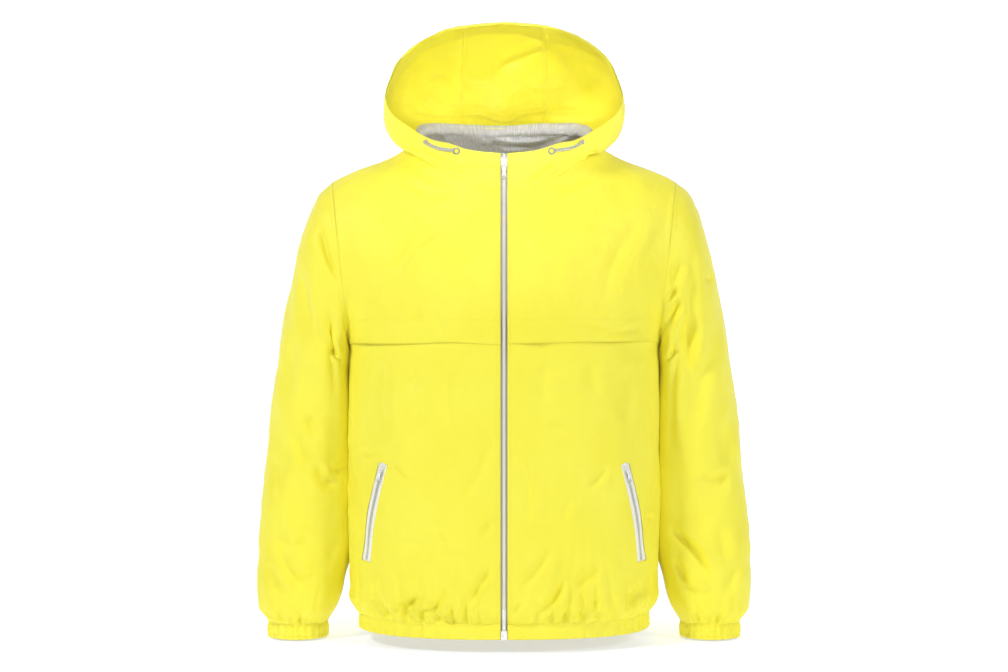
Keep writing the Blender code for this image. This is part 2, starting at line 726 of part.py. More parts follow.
def centre_front(share):
    """The middle of the front, from the hem's lower edge, at 0, to the zip's top at the hood, at 1."""
    if share < 0.03:
        foot = body_section(0.0, HEM_TOP_Z)
        return Vector((0.0, foot.y, span(HEM_BOTTOM_Z, HEM_TOP_Z, share / 0.03)))
    if share < 0.93:
        point = torso(0.0, (share - 0.03) / 0.45 if share < 0.48 else 1.0 + (share - 0.48) / 0.45, True)
    else:
        point = hood(0.0, 1.0 - (share - 0.93) / 0.07)
    return Vector((0.0, point.y, point.z))


def centre_share(z):
    """The share of the centre front line at a height, found by halving."""
    low, high = 0.0, 1.0
    for _ in range(30):
        middle = (low + high) / 2.0
        if centre_front(middle).z < z:
            low = middle
        else:
            high = middle
    return low


def zip_stops(low, high):
    """Stops up the centre front that meet the grid lines of the pieces beside it."""
    stops = [0.03 + 0.45 * stop for stop in BACK_HEIGHTS if stop <= 1.0]
    stops += [0.48 + 0.45 * (stop - 1.0) for stop in BACK_HEIGHTS if stop > 1.0]
    stops += [0.93 + 0.07 * (1.0 - down) for down in (0.92, 0.73, 0.50, 0.27)]
    return (low, *(stop for stop in stops if low + 0.002 < stop < high - 0.002), high)


def zip_band(name, left, right, low, high, outer, inner, finish):
    """A band along the centre front, between two distances across and two shares of its height."""

    def surface(across, share):
        return centre_front(share) + Vector((across, 0.0, 0.0))

    return wall(name, surface, (left, right), zip_stops(low, high), outer, inner, finish)


def tape_depth(across, share):
    """The tape lies behind the front, and a layer deeper where the yoke lies over it."""
    height = max(0.0, (share - 0.03) / 0.45)
    rejoin = 1.0 - smooth_step(FLAP_STOPS[-1], UPPER_STOPS[0], height)
    return -WALL - LINING_GAP + front_tuck(across, height) * rejoin


def make_main_zip():
    def tape_under(across, share):
        return tape_depth(across, share) - ZIP_TAPE_THICK

    def teeth_under(across, share):
        return tape_depth(across, share) + SEAM

    inner_edge = ZIP_CHAIN_HALF + SEAM
    zip_band("zip_tape_left", inner_edge, ZIP_TAPE_HALF, 0.0, 1.0, tape_depth, tape_under, "zip_tape")
    zip_band("zip_tape_right", -ZIP_TAPE_HALF, -inner_edge, 0.0, 1.0, tape_depth, tape_under, "zip_tape")
    box_top = centre_share(HEM_BOTTOM_Z + ZIP_BOX[1])
    chain = ZIP_CHAIN_HALF
    zip_band("zip_teeth", -chain, chain, box_top + 0.001, 1.0, 0.0, teeth_under, "teeth")
    box = ZIP_BOX[0] / 2.0
    zip_band("zip_box", -box, box, 0.0, box_top, ZIP_BOX_RISE, -WALL, "metal")


def pocket_line(share):
    """The pocket zip's middle line, from its lower end to its top, in x and z."""
    line = POCKET_END.lerp(POCKET_TOP, share)
    line.x += POCKET_BOW * math.sin(math.pi * share)
    return line


def front_at(x, z):
    """The front's own facets over a place in x and z."""
    share = x / read_table(BODY_SECTIONS, "z", z)["half_width"]
    depth = (1.0 - share**ROUNDNESS) ** (1.0 / ROUNDNESS)
    across = math.degrees(math.atan2(share, depth)) / 90.0
    height = (z - HEM_TOP_Z) / (UNDERARM_Z - HEM_TOP_Z)
    return faceted(front_surface, ACROSS_STOPS, FRONT_HEIGHTS)(across, height)


def pocket_band(across, share):
    """A place beside the pocket zip's middle line, on the front."""
    side = (POCKET_TOP - POCKET_END).normalized()
    line = pocket_line(share) + Vector((side.z, 0.0, -side.x)) * across
    return front_at(line.x, line.z)


def cut_slit(panel, side, label):
    """The pocket's slit through the front."""
    half, deep = POCKET_SLIT_HALF, SLIT_DEPTH
    band = mirrored(pocket_band, side)
    stops = even_stops(0.0, 1.0, 8)
    cutter = wall(f"slit_{label}", band, (-half, half), stops, deep, -deep, "shell", side < 0)
    hidden_cutter(cutter)
    cut = panel.modifiers.new("slit", "BOOLEAN")
    cut.operation = "DIFFERENCE"
    cut.object = cutter


def make_pocket_zip(side, label):
    flip = side < 0
    top = -WALL - LINING_GAP
    half = POCKET_TAPE_HALF
    band = mirrored(pocket_band, side)
    tape_stops = even_stops(-0.05, 1.05, 12)
    under = top - ZIP_TAPE_THICK
    wall(f"pocket_tape_{label}", band, (-half, 0.0, half), tape_stops, top, under, "pocket_tape", flip)
    half = POCKET_CHAIN_HALF
    teeth_stops = even_stops(0.006, 0.994, 12)
    wall(f"pocket_teeth_{label}", band, (-half, half), teeth_stops, 0.0, top + LAYER_GAP, "teeth", flip)


# Sliders and pull tabs, modelled with the zip's line along Z and the cloth behind them at +Y


def box_mesh(bm, low, high):
    made = bmesh.ops.create_cube(bm, size=1.0)
    for vert in made["verts"]:
        vert.co = Vector([span(low[axis], high[axis], vert.co[axis] + 0.5) for axis in range(3)])
    return made["verts"]


def place_on(thing, frame, scale):
    thing.matrix_world = frame @ Matrix.Scale(scale, 4)
    bpy.context.view_layer.update()
    thing.data.transform(Matrix.Scale(scale, 4))
    location, rotation, _ = frame.decompose()
    thing.matrix_world = Matrix.LocRotScale(location, rotation, None)
    return thing


def hidden_cutter(thing):
    thing.hide_render = True
    thing.display_type = "WIRE"
    return thing


def make_slider(name, frame, scale):
    half = SLIDER_WIDTH / 2.0
    bm = bmesh.new()
    low, high = SLIDER_RISE
    end = SLIDER_LENGTH / 2.0
    for vert in box_mesh(bm, (-half, -high, -end), (half, -low, end)):
        if vert.co.z < 0.0:
            vert.co.x *= SLIDER_TAPER
    upright = [edge for edge in bm.edges if abs(edge.verts[0].co.y - edge.verts[1].co.y) > 0.001]
    bmesh.ops.bevel(
        bm,
        geom=upright,
        offset=SLIDER_CORNER,
        offset_type="OFFSET",
        segments=3,
        affect="EDGES",
        profile=0.5,
        material=-1,
    )
    slider = place_on(add_object(name, bm, "metal"), frame, scale)
    bail = bmesh.new()
    wide = BAIL_HALF_WIDTH
    box_mesh(bail, (-wide, -BAIL_RISE[1], -BAIL_OUTER), (wide, -SLIDER_RISE[0] - 0.0008, BAIL_OUTER))
    bail_thing = hidden_cutter(place_on(add_object(name + "_bail", bail, "metal"), frame, scale))
    hollow = bmesh.new()
    box_mesh(hollow, (-0.01, -BAIL_RISE[0], -BAIL_INNER), (0.01, -SLIDER_RISE[1], BAIL_INNER))
    hollow_thing = hidden_cutter(place_on(add_object(name + "_hollow", hollow, "metal"), frame, scale))
    for label, operation, other in (("join", "UNION", bail_thing), ("cut", "DIFFERENCE", hollow_thing)):
        step = slider.modifiers.new(label, "BOOLEAN")
        step.operation = operation
        step.object = other
    return slider


def make_pull(name, frame, scale):
    """The tab, hung by its top bar under the slider's bail. Its origin is the bar's middle."""
    bm = bmesh.new()
    down, halves = PULL_OUTLINE["down"], PULL_OUTLINE["half_width"]
    edge = [(half, -low) for low, half in zip(down, halves)]
    edge += [(-half, -low) for low, half in zip(reversed(down), reversed(halves))]
    face = bm.faces.new([bm.verts.new((x, -PULL_THICK / 2.0, z)) for x, z in edge])
    made = bmesh.ops.extrude_face_region(bm, geom=[face])
    for item in made["geom"]:
        if isinstance(item, bmesh.types.BMVert):
            item.co.y = PULL_THICK / 2.0
    pull = place_on(add_object(name, bm, "metal"), frame, scale)
    eye = bmesh.new()
    box_mesh(eye, (-PULL_EYE[0], -0.01, -PULL_EYE[2]), (PULL_EYE[0], 0.01, -PULL_EYE[1]))
    hole = bmesh.new()
    turned = Matrix.Translation((0.0, 0.0, -PULL_HOLE[2])) @ Matrix.Rotation(math.pi / 2.0, 4, "X")
    wide = PULL_HOLE[0]
    bmesh.ops.create_cone(
        hole, cap_ends=True, segments=12, radius1=wide, radius2=wide, depth=0.01, matrix=turned
    )
    flatten = (1.0, 1.0, PULL_HOLE[1] / wide)
    centred = Matrix.Translation((0.0, 0.0, PULL_HOLE[2]))
    bmesh.ops.scale(hole, vec=flatten, verts=hole.verts, space=centred)
    for label, cutter in (("eye", eye), ("hole", hole)):
        thing = hidden_cutter(place_on(add_object(f"{name}_{label}", cutter, "metal"), frame, scale))
        step = pull.modifiers.new(label, "BOOLEAN")
        step.operation = "DIFFERENCE"
        step.object = thing
    return pull


def zip_frame(point, up, outward, rise):
    """A frame with Z along the zip and -Y away from the cloth."""
    across = up.cross(outward).normalized()
    outward = across.cross(up).normalized()
    turn = Matrix((across, -outward, up)).transposed()
    return Matrix.LocRotScale(point + outward * rise, turn.to_quaternion(), None)


def make_zip_hardware(name, point, up, outward, scale):
    up = up.normalized()
    outward = outward.normalized()
    make_slider(f"{name}_slider", zip_frame(point, up, outward, 0.0), scale)
    make_pull(f"{name}_pull", zip_frame(point, up, outward, PIVOT_RISE * scale), scale)


def make_main_hardware():
    share = centre_share(MAIN_SLIDER_Z)
    up = centre_front(share + 0.01) - centre_front(share - 0.01)
    make_zip_hardware("zip", centre_front(share), up, Vector((1.0, 0.0, 0.0)).cross(up), MAIN_SCALE)


def make_pocket_hardware(side, label):
    band = mirrored(pocket_band, side)
    up = band(0.0, 0.99) - band(0.0, 0.80)
    across = band(0.003, 0.90) - band(-0.003, 0.90)
    make_zip_hardware(f"pocket_{label}", band(0.0, 0.965), up, across.cross(up) * side, POCKET_SCALE)


# Draw cord and eyelets


def hood_frame(share, down, side):
    """A place on the hood's outside, with its outward normal."""
    point = hood(share, down)
    round_hood = hood(share + 0.01, down) - hood(share - 0.01, down)
    upward = hood(share, down - 0.02) - hood(share, down + 0.02)
    normal = round_hood.cross(upward).normalized()
    return Vector((point.x * side, point.y, point.z)), Vector((normal.x * side, normal.y, normal.z))


def make_eyelet(side, label):
    point, normal = hood_frame(*EYELET_PLACE, side)
    bm = bmesh.new()
    low, high = 0.0005, 0.0005 + EYELET_THICK
    corners = ((EYELET_HOLE, low), (EYELET_RADIUS, low), (EYELET_RADIUS - 0.0006, high), (EYELET_HOLE, high))
    ring = [bm.verts.new((radius, 0.0, rise)) for radius, rise in corners]
    edges = [bm.edges.new((ring[at], ring[(at + 1) % 4])) for at in range(4)]
    whole = 2.0 * math.pi
    bmesh.ops.spin(
        bm, geom=ring + edges, cent=(0, 0, 0), axis=(0, 0, 1), angle=whole, steps=20, use_merge=True
    )
    eyelet = add_object(f"eyelet_{label}", bm, "metal")
    eyelet.matrix_world = Matrix.LocRotScale(point, normal.to_track_quat("Z", "Y"), None)


def cord_route(side):
    """The cord's middle line, lying on the hood's front from the eyelet to its knot."""
    points = []
    for at in range(CORD_POINTS):
        place = at / (CORD_POINTS - 1) * (len(CORD_ROUTE) - 1)
        first = min(len(CORD_ROUTE) - 2, int(place))
        part = place - first
        share = span(CORD_ROUTE[first][0], CORD_ROUTE[first + 1][0], part)
        down = span(CORD_ROUTE[first][1], CORD_ROUTE[first + 1][1], part)
        point, normal = hood_frame(share, down, side)
        near_eyelet = 1.0 - smooth_step(0.0, 0.35, at / (CORD_POINTS - 1))
        rise = CORD_DIAMETER / 2.0 + CORD_REST + CORD_LIFT * near_eyelet
        points.append(point + normal * rise)
    return points


def make_cord(side, label):
    points = cord_route(side)
    curve = bpy.data.curves.new(f"cord_{label}", "CURVE")
    curve.dimensions = "3D"
    curve.bevel_depth = CORD_DIAMETER / 2.0
    curve.bevel_resolution = 2
    curve.use_fill_caps = True
    spline = curve.splines.new("POLY")
    spline.points.add(len(points) - 1)
    for spot, point in zip(spline.points, points):
        spot.co = (*point, 1.0)
    curve.materials.append(material("cord"))
    thing = bpy.data.objects.new(f"cord_{label}", curve)
    bpy.context.scene.collection.objects.link(thing)
    onward = (points[-1] - points[-2]).normalized()
    outward = hood_frame(*CORD_ROUTE[-1], side)[1]
    bm = bmesh.new()
    bmesh.ops.create_icosphere(bm, subdivisions=2, radius=KNOT_RADIUS)
    knot = add_object(f"cord_knot_{label}", bm, "cord")
    knot.location = points[-1] + onward * (KNOT_RADIUS + LAYER_GAP) + outward * KNOT_LIFT


clear_scene()
both_sides(make_front)
make_back()
make_hem()
both_sides(make_sleeve)
both_sides(make_cuff)
both_sides(make_hood_side)
make_hood_centre()
both_sides(make_hood_hem)
both_sides(make_lining)
make_back_lining()
make_main_zip()
both_sides(make_pocket_zip)
make_main_hardware()
both_sides(make_pocket_hardware)
both_sides(make_eyelet)
both_sides(make_cord)
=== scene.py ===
"""Hooded windbreaker jacket: finished cloth, zips, cords and a pale studio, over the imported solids.

Lengths are metres, +Z is up and the zip faces -Y. The wearer's left sleeve is on +X.
"""

import functools
import math

import bmesh
import bpy
import numpy as np
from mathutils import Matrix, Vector, noise


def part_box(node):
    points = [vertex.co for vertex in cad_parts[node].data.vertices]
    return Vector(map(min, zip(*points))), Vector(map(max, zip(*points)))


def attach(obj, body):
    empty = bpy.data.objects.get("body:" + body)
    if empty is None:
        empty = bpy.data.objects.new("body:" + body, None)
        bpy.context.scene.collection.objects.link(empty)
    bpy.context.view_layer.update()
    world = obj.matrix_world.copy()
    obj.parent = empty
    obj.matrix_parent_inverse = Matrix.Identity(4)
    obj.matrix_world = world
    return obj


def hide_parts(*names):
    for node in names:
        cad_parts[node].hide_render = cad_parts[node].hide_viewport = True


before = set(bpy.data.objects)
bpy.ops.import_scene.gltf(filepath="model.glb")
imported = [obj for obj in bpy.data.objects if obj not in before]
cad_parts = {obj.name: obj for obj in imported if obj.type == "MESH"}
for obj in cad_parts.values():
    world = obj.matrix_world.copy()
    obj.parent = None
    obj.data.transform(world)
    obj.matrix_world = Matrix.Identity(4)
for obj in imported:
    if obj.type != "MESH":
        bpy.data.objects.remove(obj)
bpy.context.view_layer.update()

MILLIMETRE = 0.001
SIDES = ((1.0, "left"), (-1.0, "right"))

# Cloth and seams
WALL = 0.0013
SHELL_THICK = 0.0008
LINING_GAP = 0.0009
SEAM_SINK = 0.0006
CREASE_STRENGTH = 2.7
CROWN_DROOP = 0.0022
CREASE_WIDTH = 0.85
ROUTE_STEPS = 6
SEAM_REACH = 0.0022
SEAM_CALM = 0.013
JOIN_CALM = 0.012
ROW_SINK = 0.00062
ROW_WIDTH = 0.0017
PUCKER_PITCH = 0.0052
PUCKER_DRIFT = 0.023

# Rows of sewing: their distance from the edge
ZIP_EDGE_ROW = 0.0042
TOP_ROW = 0.0065
ARMHOLE_ROW = 0.0062
HOOD_SEAM_ROW = 0.0035
HOOD_NECK_ROW = 0.005
CUFF_ROWS = (0.0045, 0.0080)
FLAP_ROWS = (0.0320, 0.0020)
HEM_ROW = 0.0064

# Body
HEM_BOTTOM_Z = -0.6175
HEM_TOP_Z = -0.5970
UNDERARM_Z = -0.235
SIDE_Y = 0.004
ROUNDNESS = 2.5
BODY_RADIUS = 0.17
NECK_HALF_WIDTH = 0.124
NECK_HALF_DEPTH = 0.095
NECK_CENTRE_Y = -0.010
NECK_MIDDLE_Z = 0.0335
NECK_TILT = 0.0465
NECK_SIDE_RISE = 0.025
NECK_SHARE = 0.42
SHOULDER_POINT = Vector((0.241, 0.005, 0.0))
SHOULDER_SAG = 0.020
CORNER_STEPS = (-0.15, -0.10, -0.05, 0.0, 0.05, 0.10, 0.15)
CORNER_HOLD = 7.0
PANEL_RISE = 0.22
ARMHOLE_LEAVE = Vector((-0.020, 0.36, 0.060))
ARMHOLE_ARRIVE = Vector((0.020, 0.30, 0.0))
CHEST_FULLNESS = 0.008
FLAP_EDGE = 0.055
FRONT_END = 1.19

# The flap's edge, by side: where across it a wave is, how wide and how high
FLAP_WAVES = {
    1.0: ((0.12, 0.05, 0.0030), (0.46, 0.13, 0.0036)),
    -1.0: ((0.57, 0.17, 0.0040), (0.20, 0.06, 0.0006)),
}
FLAP_RISE = {1.0: (0.35, 0.60, 0.0110), -1.0: (0.19, 0.11, 0.0120)}

# Sleeve, cuff and hem band
HEM_GATHERS = 62
HEM_GATHER_DEPTH = 0.0019
HEM_PLAIN = 18.0
BAND_TUCK = 0.0016
CUFF_GATHERS = 24
CUFF_GATHER_DEPTH = 0.0017
SLEEVE_CLEAR = 0.0018
SLEEVE_ROUNDNESS = 2.3
SLEEVE_LENGTH = 0.6
SLEEVE_RADIUS = 0.062
CUFF_CUT = (0.300, 0.024)
HEM_CUT = (1.120, 0.046)
CUFF_TOP_Z = -0.6122
CUFF_BOTTOM_Z = -0.6340
CUFF_CENTRE = Vector((0.288, 0.002, 0.0))
CUFF_HALF_WIDTH = 0.0420
CUFF_HALF_DEPTH = 0.0384

# Hood
HOOD_SEAM_SHARE = 0.870
HOOD_HEM_WIDTH = 0.018
HOOD_HEM_ROW = HOOD_HEM_WIDTH - 0.001
BRIM_START = 0.0417

# Zips. The shares are of the main zip's length, from the hem band up
ZIP_HALF = 0.0046
ZIP_TAPE_START = 0.0022
ZIP_TAPE_HALF = 0.0100
TAPE_THICK = 0.0007
TAPE_SINK = -0.0012
ZIP_PITCH = 0.0025
ZIP_HEM_SHARE = 0.03
ZIP_BODY_SHARE = 0.45
ZIP_UNDERARM = 0.48
ZIP_NECK = 0.93
ZIP_HOOD_SHARE = 0.07
POCKET_TOP = Vector((0.1630, 0.0, -0.3840))
POCKET_END = Vector((0.1890, 0.0, -0.5180))
POCKET_BOW = 0.003
POCKET_SLIT_HALF = 0.0064
POCKET_CALM = (0.0075, 0.026)
POCKET_END_CALM = 0.006
CUT_REACH = 0.012
POCKET_TAPE_HALF = 0.0110
POCKET_PITCH = 0.0019
POCKET_TEETH_HALF = 0.0023
ZIP_TEETH_HALF = 0.0020
ZIP_BOX_TALL = 0.0120
TOOTH_DEEP = 0.0011

# Draw cord
CORD_DIAMETER = 0.0045
CORD_RADIUS = CORD_DIAMETER / 2.0
# Where the cord lies on the hood, from its eyelet: share round it and share down it
CORD_ROUTE = (
    (0.156, 0.23), (0.170, 0.26), (0.185, 0.28), (0.200, 0.28), (0.215, 0.26), (0.230, 0.22),
    (0.240, 0.18),
)
CORD_POINTS = 9
CORD_STEPS = 6
BRAID_TURNS = 900.0
KNOT_THICK = 0.00165

TABLES = {
    "body": {
        "z": (-0.597, -0.585, -0.566, -0.510, -0.430, -0.350, -0.235),
        "half_width": (0.2035, 0.2095, 0.2130, 0.2165, 0.2172, 0.2172, 0.2165),
        "front": (0.1275, 0.1345, 0.1375, 0.1390, 0.1395, 0.1400, 0.1400),
        "back": (0.1090, 0.1160, 0.1195, 0.1215, 0.1215, 0.1215, 0.1220),
    },
    "panel_top": {
        "across": (0.0, 0.20, 0.42, 0.70, 1.0),
        "both_x": (0.0, -0.02, -0.06, -0.02, 0.0),
        "front_y": (0.060, 0.090, 0.150, 0.215, 0.220),
        "front_z": (0.200, 0.170, 0.085, 0.012, 0.0),
        "back_y": (-0.140, -0.160, -0.170, -0.235, -0.240),
        "back_z": (0.200, 0.160, 0.085, 0.012, 0.0),
    },
    "sleeve": {
        "along": (0.0, 0.06, 0.14, 0.24, 0.36, 0.50, 0.64, 0.78, 0.88, 0.95, 1.0),
        "outer_x": (0.241, 0.2585, 0.2725, 0.2865, 0.3015, 0.318, 0.331, 0.341, 0.3455, 0.3445, 0.33),
        "outer_z": (0.0, -0.016, -0.045, -0.09, -0.15, -0.24, -0.34, -0.45, -0.528, -0.58, -0.6125),
        "inner_x": (0.2165, 0.22, 0.2205, 0.218, 0.213, 0.208, 0.206, 0.21, 0.2215, 0.23, 0.246),
        "inner_z": (-0.235, -0.242, -0.252, -0.268, -0.295, -0.345, -0.41, -0.49, -0.545, -0.583, -0.6125),
        "centre_y": (0.005, 0.006, 0.009, 0.014, 0.022, 0.030, 0.031, 0.024, 0.013, 0.006, 0.002),
        "half_depth": (0.085, 0.084, 0.083, 0.082, 0.080, 0.076, 0.070, 0.063, 0.058, 0.051, 0.0385),
    },
    # The hood's face opening, from the zip over the top to the middle of the crown
    "rim": {
        "share": (0.0, 0.108, 0.183, 0.237, 0.329, 0.413, 0.474, 0.530, 0.622, 0.709, 0.798, 0.888, 1.0),
        "x": (0.0053, 0.047, 0.0757, 0.0975, 0.128, 0.1535, 0.1637, 0.16, 0.144, 0.1178, 0.0846,
              0.0472, 0.0),
        "y": (-0.1, -0.098, -0.093, -0.087, -0.07, -0.055, -0.045, -0.038, -0.03, -0.025, -0.022,
              -0.02, -0.02),
        "z": (0.034, 0.0386, 0.0483, 0.0528, 0.07, 0.0893, 0.1108, 0.1334, 0.1675, 0.193, 0.21,
              0.2186, 0.2227),
    },
    "hood": {
        "share": (0.0, 0.183, 0.33, 0.50, 0.70, 0.87, 1.0),
        "fore_x": (0.0053, 0.081, 0.142, 0.170, 0.135, 0.058, 0.0),
        "fore_y": (-0.102, -0.094, -0.060, -0.006, 0.055, 0.100, 0.112),
        "fore_z": (0.020, 0.040, 0.058, 0.100, 0.210, 0.252, 0.258),
        "aft_x": (0.0053, 0.078, 0.134, 0.176, 0.168, 0.072, 0.0),
        "aft_y": (-0.104, -0.095, -0.060, 0.016, 0.110, 0.186, 0.204),
        "aft_z": (0.004, 0.020, 0.026, 0.048, 0.064, 0.066, 0.066),
    },
}
TABLE_KEYS = {"body": "z", "panel_top": "across", "sleeve": "along", "rim": "share", "hood": "share"}

# Broad folds that the solids have too
BODY_FOLDS = {
    "turn": (28.0, 62.0, 48.0, 118.0, 150.0, 205.0),
    "z": (-0.545, -0.470, -0.330, -0.500, -0.340, -0.540),
    "slope": (0.55, -0.50, 0.25, 0.45, -0.30, 0.20),
    "half_length": (0.080, 0.090, 0.100, 0.100, 0.120, 0.080),
    "half_width": (0.018, 0.020, 0.024, 0.022, 0.026, 0.020),
    "depth": (0.0035, 0.0030, 0.0022, 0.0040, 0.0035, 0.0030),
}
SLEEVE_FOLDS = {
    "along": (0.30, 0.45, 0.60, 0.72, 0.86, 0.40),
    "turn": (110.0, 60.0, 150.0, 70.0, 120.0, 280.0),
    "slope": (0.9, -0.8, 0.7, -0.6, 0.8, 0.7),
    "half_length": (0.070, 0.080, 0.080, 0.070, 0.060, 0.090),
    "half_width": (0.018, 0.018, 0.018, 0.016, 0.014, 0.020),
    "depth": (0.0035, 0.0035, 0.0040, 0.0040, 0.0035, 0.0040),
}

# Creases listed in millimetres: width, depth, then the corners of the route on a flat view
FRONT_CREASES = (
    (5, 2.6, -150, -588, -141, -577, -112, -565),
    (4, 2.8, -186, -566, -168, -578, -176, -588),
    (5, 2.1, -128, -592, -104, -578, -84, -572),
    (5, 1.8, -92, -594, -74, -586, -66, -570),
    (9, 2.2, -83, -62, -123, -91, -149, -131),
    (8, 1.2, -132, -6, -99, -18, -69, -21),
    (9, 1.0, -125, -163, -107, -206),
    (7, 1.0, -99, -170, -79, -217),
    (12, 1.8, -159, -246, -166, -297, -157, -350),
    (8, 1.2, -115, -259, -128, -283),
    (11, 1.3, -72, -246, -77, -297, -69, -337),
    (4, 1.6, -199, -373, -172, -368, -136, -364),
    (4, 1.4, -149, -382, -129, -405),
    (9, 1.8, -13, -340, -24, -377, -43, -412, -65, -437),
    (7, 2.6, -11, -516, -27, -536, -45, -566, -57, -593),
    (5, 1.0, -91, -470, -77, -493),
    (5, 1.0, -147, -485, -99, -492),
    (7, 2.6, -115, -556, -139, -590),
    (8, 2.6, -72, -542, -101, -588),
    (6, 1.2, -32, -484, -16, -457),
    (7, 1.0, -85, -510, -45, -505),
    (7, 2.6, -186, -550, -159, -584),
    (12, 1.8, 195, -38, 149, -113, 133, -169),
    (7, 1.8, 93, -195, 144, -209, 190, -198),
    (12, 0.9, 75, -77, 59, -150),
    (10, 0.8, 21, -70, 24, -150),
    (8, 1.6, 11, -348, 35, -412, 32, -473),
    (8, 1.5, 61, -326, 97, -346),
    (6, 1.6, 140, -389, 113, -416),
    (8, 1.2, 89, -428, 80, -464),
    (9, 2.4, 63, -496, 43, -526, 20, -553),
    (6, 3.0, 85, -532, 69, -561, 36, -592),
    (8, 1.8, 131, -522, 93, -553),
    (4, 1.4, 182, -456, 208, -465),
    (7, 2.8, 190, -550, 157, -588),
    (6, 2.2, 128, -564, 101, -594),
    (6, 1.6, 24, -564, 8, -590),
    (10, 1.1, 55, -250, 48, -310),
    (10, 1.0, 115, -250, 123, -297),
    (12, 1.5, 168, -250, 163, -337),
    (9, 1.2, -120, 12, -92, -2, -58, -14),
    (9, 1.2, 128, 14, 96, -4, 66, -12),
)
BACK_CREASES = (
    (12, 2.4, -176, -60, -120, -110, -60, -130),
    (11, 2.4, 180, -74, 132, -128, 70, -150),
    (12, 1.6, -60, 30, -84, -20, -92, -80),
    (12, 1.6, 58, 26, 76, -30, 80, -96),
    (13, 1.5, -20, -40, -6, -130, -14, -210),
    (9, 1.8, -190, -190, -140, -214, -96, -206),
    (9, 1.8, 196, -204, 150, -232, 108, -230),
    (12, 1.7, -120, -260, -96, -330, -104, -396),
    (13, 1.7, 110, -250, 86, -330, 92, -400),
    (12, 1.4, -30, -280, 0, -340, -8, -420),
    (10, 2.0, -180, -380, -132, -420, -70, -430),
    (10, 2.0, 176, -400, 128, -446, 78, -452),
    (8, 2.8, -150, -500, -100, -548, -70, -592),
    (8, 2.8, 140, -496, 100, -540, 84, -590),
    (8, 2.2, -40, -510, -20, -556, -30, -594),
    (8, 2.2, 30, -500, 44, -548, 20, -592),
    (7, 2.4, -190, -530, -168, -590),
    (7, 2.4, 188, -540, 160, -592),
)
SLEEVE_CREASES = (
    (7, 3.2, -255, -61, -240, -108, -222, -148),
    (8, 2.0, -236, -190, -231, -230, -226, -290),
    (9, 2.2, 258, -92, 256, -190, 254, -330),
    (13, 3.2, -285, -112, -277, -165, -269, -228),
    (11, 3.0, -269, -322, -262, -365),
    (12, 2.8, -288, -344, -269, -403),
    (6, 3.2, -235, -403, -217, -393),
    (8, 2.8, -260, -392, -250, -414, -228, -418),
    (10, 2.6, -319, -488, -291, -505, -262, -488),
    (10, 2.8, -313, -509, -285, -548, -260, -562),
    (9, 2.2, -330, -529, -302, -573),
    (10, 2.4, -222, -473, -238, -529),
    (9, 2.4, -243, -165, -229, -249, -224, -319),
    (13, 2.0, -299, -221, -297, -305),
    (12, 1.8, -320, -375, -311, -445),
    (5, 3.4, 222, -168, 236, -147),
    (6, 3.6, 242, -165, 222, -200),
    (8, 2.8, 242, -112, 228, -148),
    (12, 3.0, 255, -182, 248, -266),
    (7, 1.8, 277, -131, 285, -140),
    (13, 2.4, 274, -235, 260, -347),
    (9, 2.8, 263, -414, 291, -415, 318, -403),
    (7, 4.2, 224, -476, 246, -495, 264, -513, 283, -544),
    (8, 3.6, 232, -523, 252, -558),
    (8, 2.6, 239, -557, 274, -569, 292, -559),
    (11, 1.8, 302, -333, 313, -403),
    (11, 1.8, 297, -473, 308, -529),
    (9, 2.2, 323, -529, 305, -573),
    (11, 2.6, 235, -207, 224, -305, 227, -389),
)
SLEEVE_BACK_CREASES = (
    (12, 3.0, -300, -120, -262, -190, -240, -270),
    (11, 3.2, -318, -300, -270, -350, -228, -366),
    (9, 3.0, -322, -400, -276, -426, -230, -420),
    (10, 2.8, -326, -470, -282, -520, -250, -540),
    (13, 2.0, -280, -220, -300, -300),
    (12, 3.0, 296, -130, 258, -200, 238, -280),
    (11, 3.2, 316, -310, 268, -366, 226, -372),
    (9, 3.0, 324, -420, 280, -440, 234, -428),
    (10, 2.8, 330, -490, 284, -530, 254, -552),
    (13, 2.0, 282, -230, 304, -320),
)
# Seen from the side, on Y and Z
SLEEVE_SIDE_CREASES = (
    (15, 1.6, -40, -130, 0, -200, 30, -300),
    (14, 1.2, 60, -330, 10, -400, -30, -430),
    (14, 1.0, -34, -380, 20, -420, 70, -430),
    (13, 1.3, 50, -480, 10, -520, -30, -540),
    (14, 1.2, 20, -240, 60, -320),
)
HOOD_INSIDE_CREASES = (
    (4, 0.9, -158, 96, -156, 125, -149, 150, -132, 170, -111, 190, -80, 203, -50, 212, -20, 216,
     20, 214, 54, 206, 92, 199, 126, 184, 146, 161, 153, 134, 158, 100),
    (6, 3.2, -60, 154, -32, 151, -3, 160),
    (8, 3.0, -17, 168, 14, 178, 47, 189, 69, 197),
    (6, 2.2, -106, 154, -80, 153),
    (7, 3.8, -1, 111, 24, 134, 44, 141, 72, 140, 92, 148, 109, 148),
    (7, 3.0, -116, 134, -96, 117, -80, 107),
    (5, 2.2, -67, 133, -50, 130),
    (5, 3.4, -146, 100, -123, 104, -85, 104, -34, 107, -1, 97, 30, 108, 80, 110, 135, 101),
    (7, 2.0, 80, 176, 100, 156),
    (7, 2.4, 116, 128, 135, 153),
    (7, 1.8, -20, 120, -46, 116),
)
HOOD_FRONT_CREASES = (
    (6, 3.2, 79, 30, 52, 10, 27, -8),
    (6, 3.0, 118, 30, 84, 16, 56, -6),
    (6, 2.8, 129, 40, 112, 26),
    (6, 3.2, -99, 26, -77, 16, -48, 4),
    (6, 3.0, -134, 44, -107, 32, -84, 26, -60, 14),
    (6, 1.8, -59, 20, -32, 4),
    (6, 1.2, 21, 26, 13, 2),
)
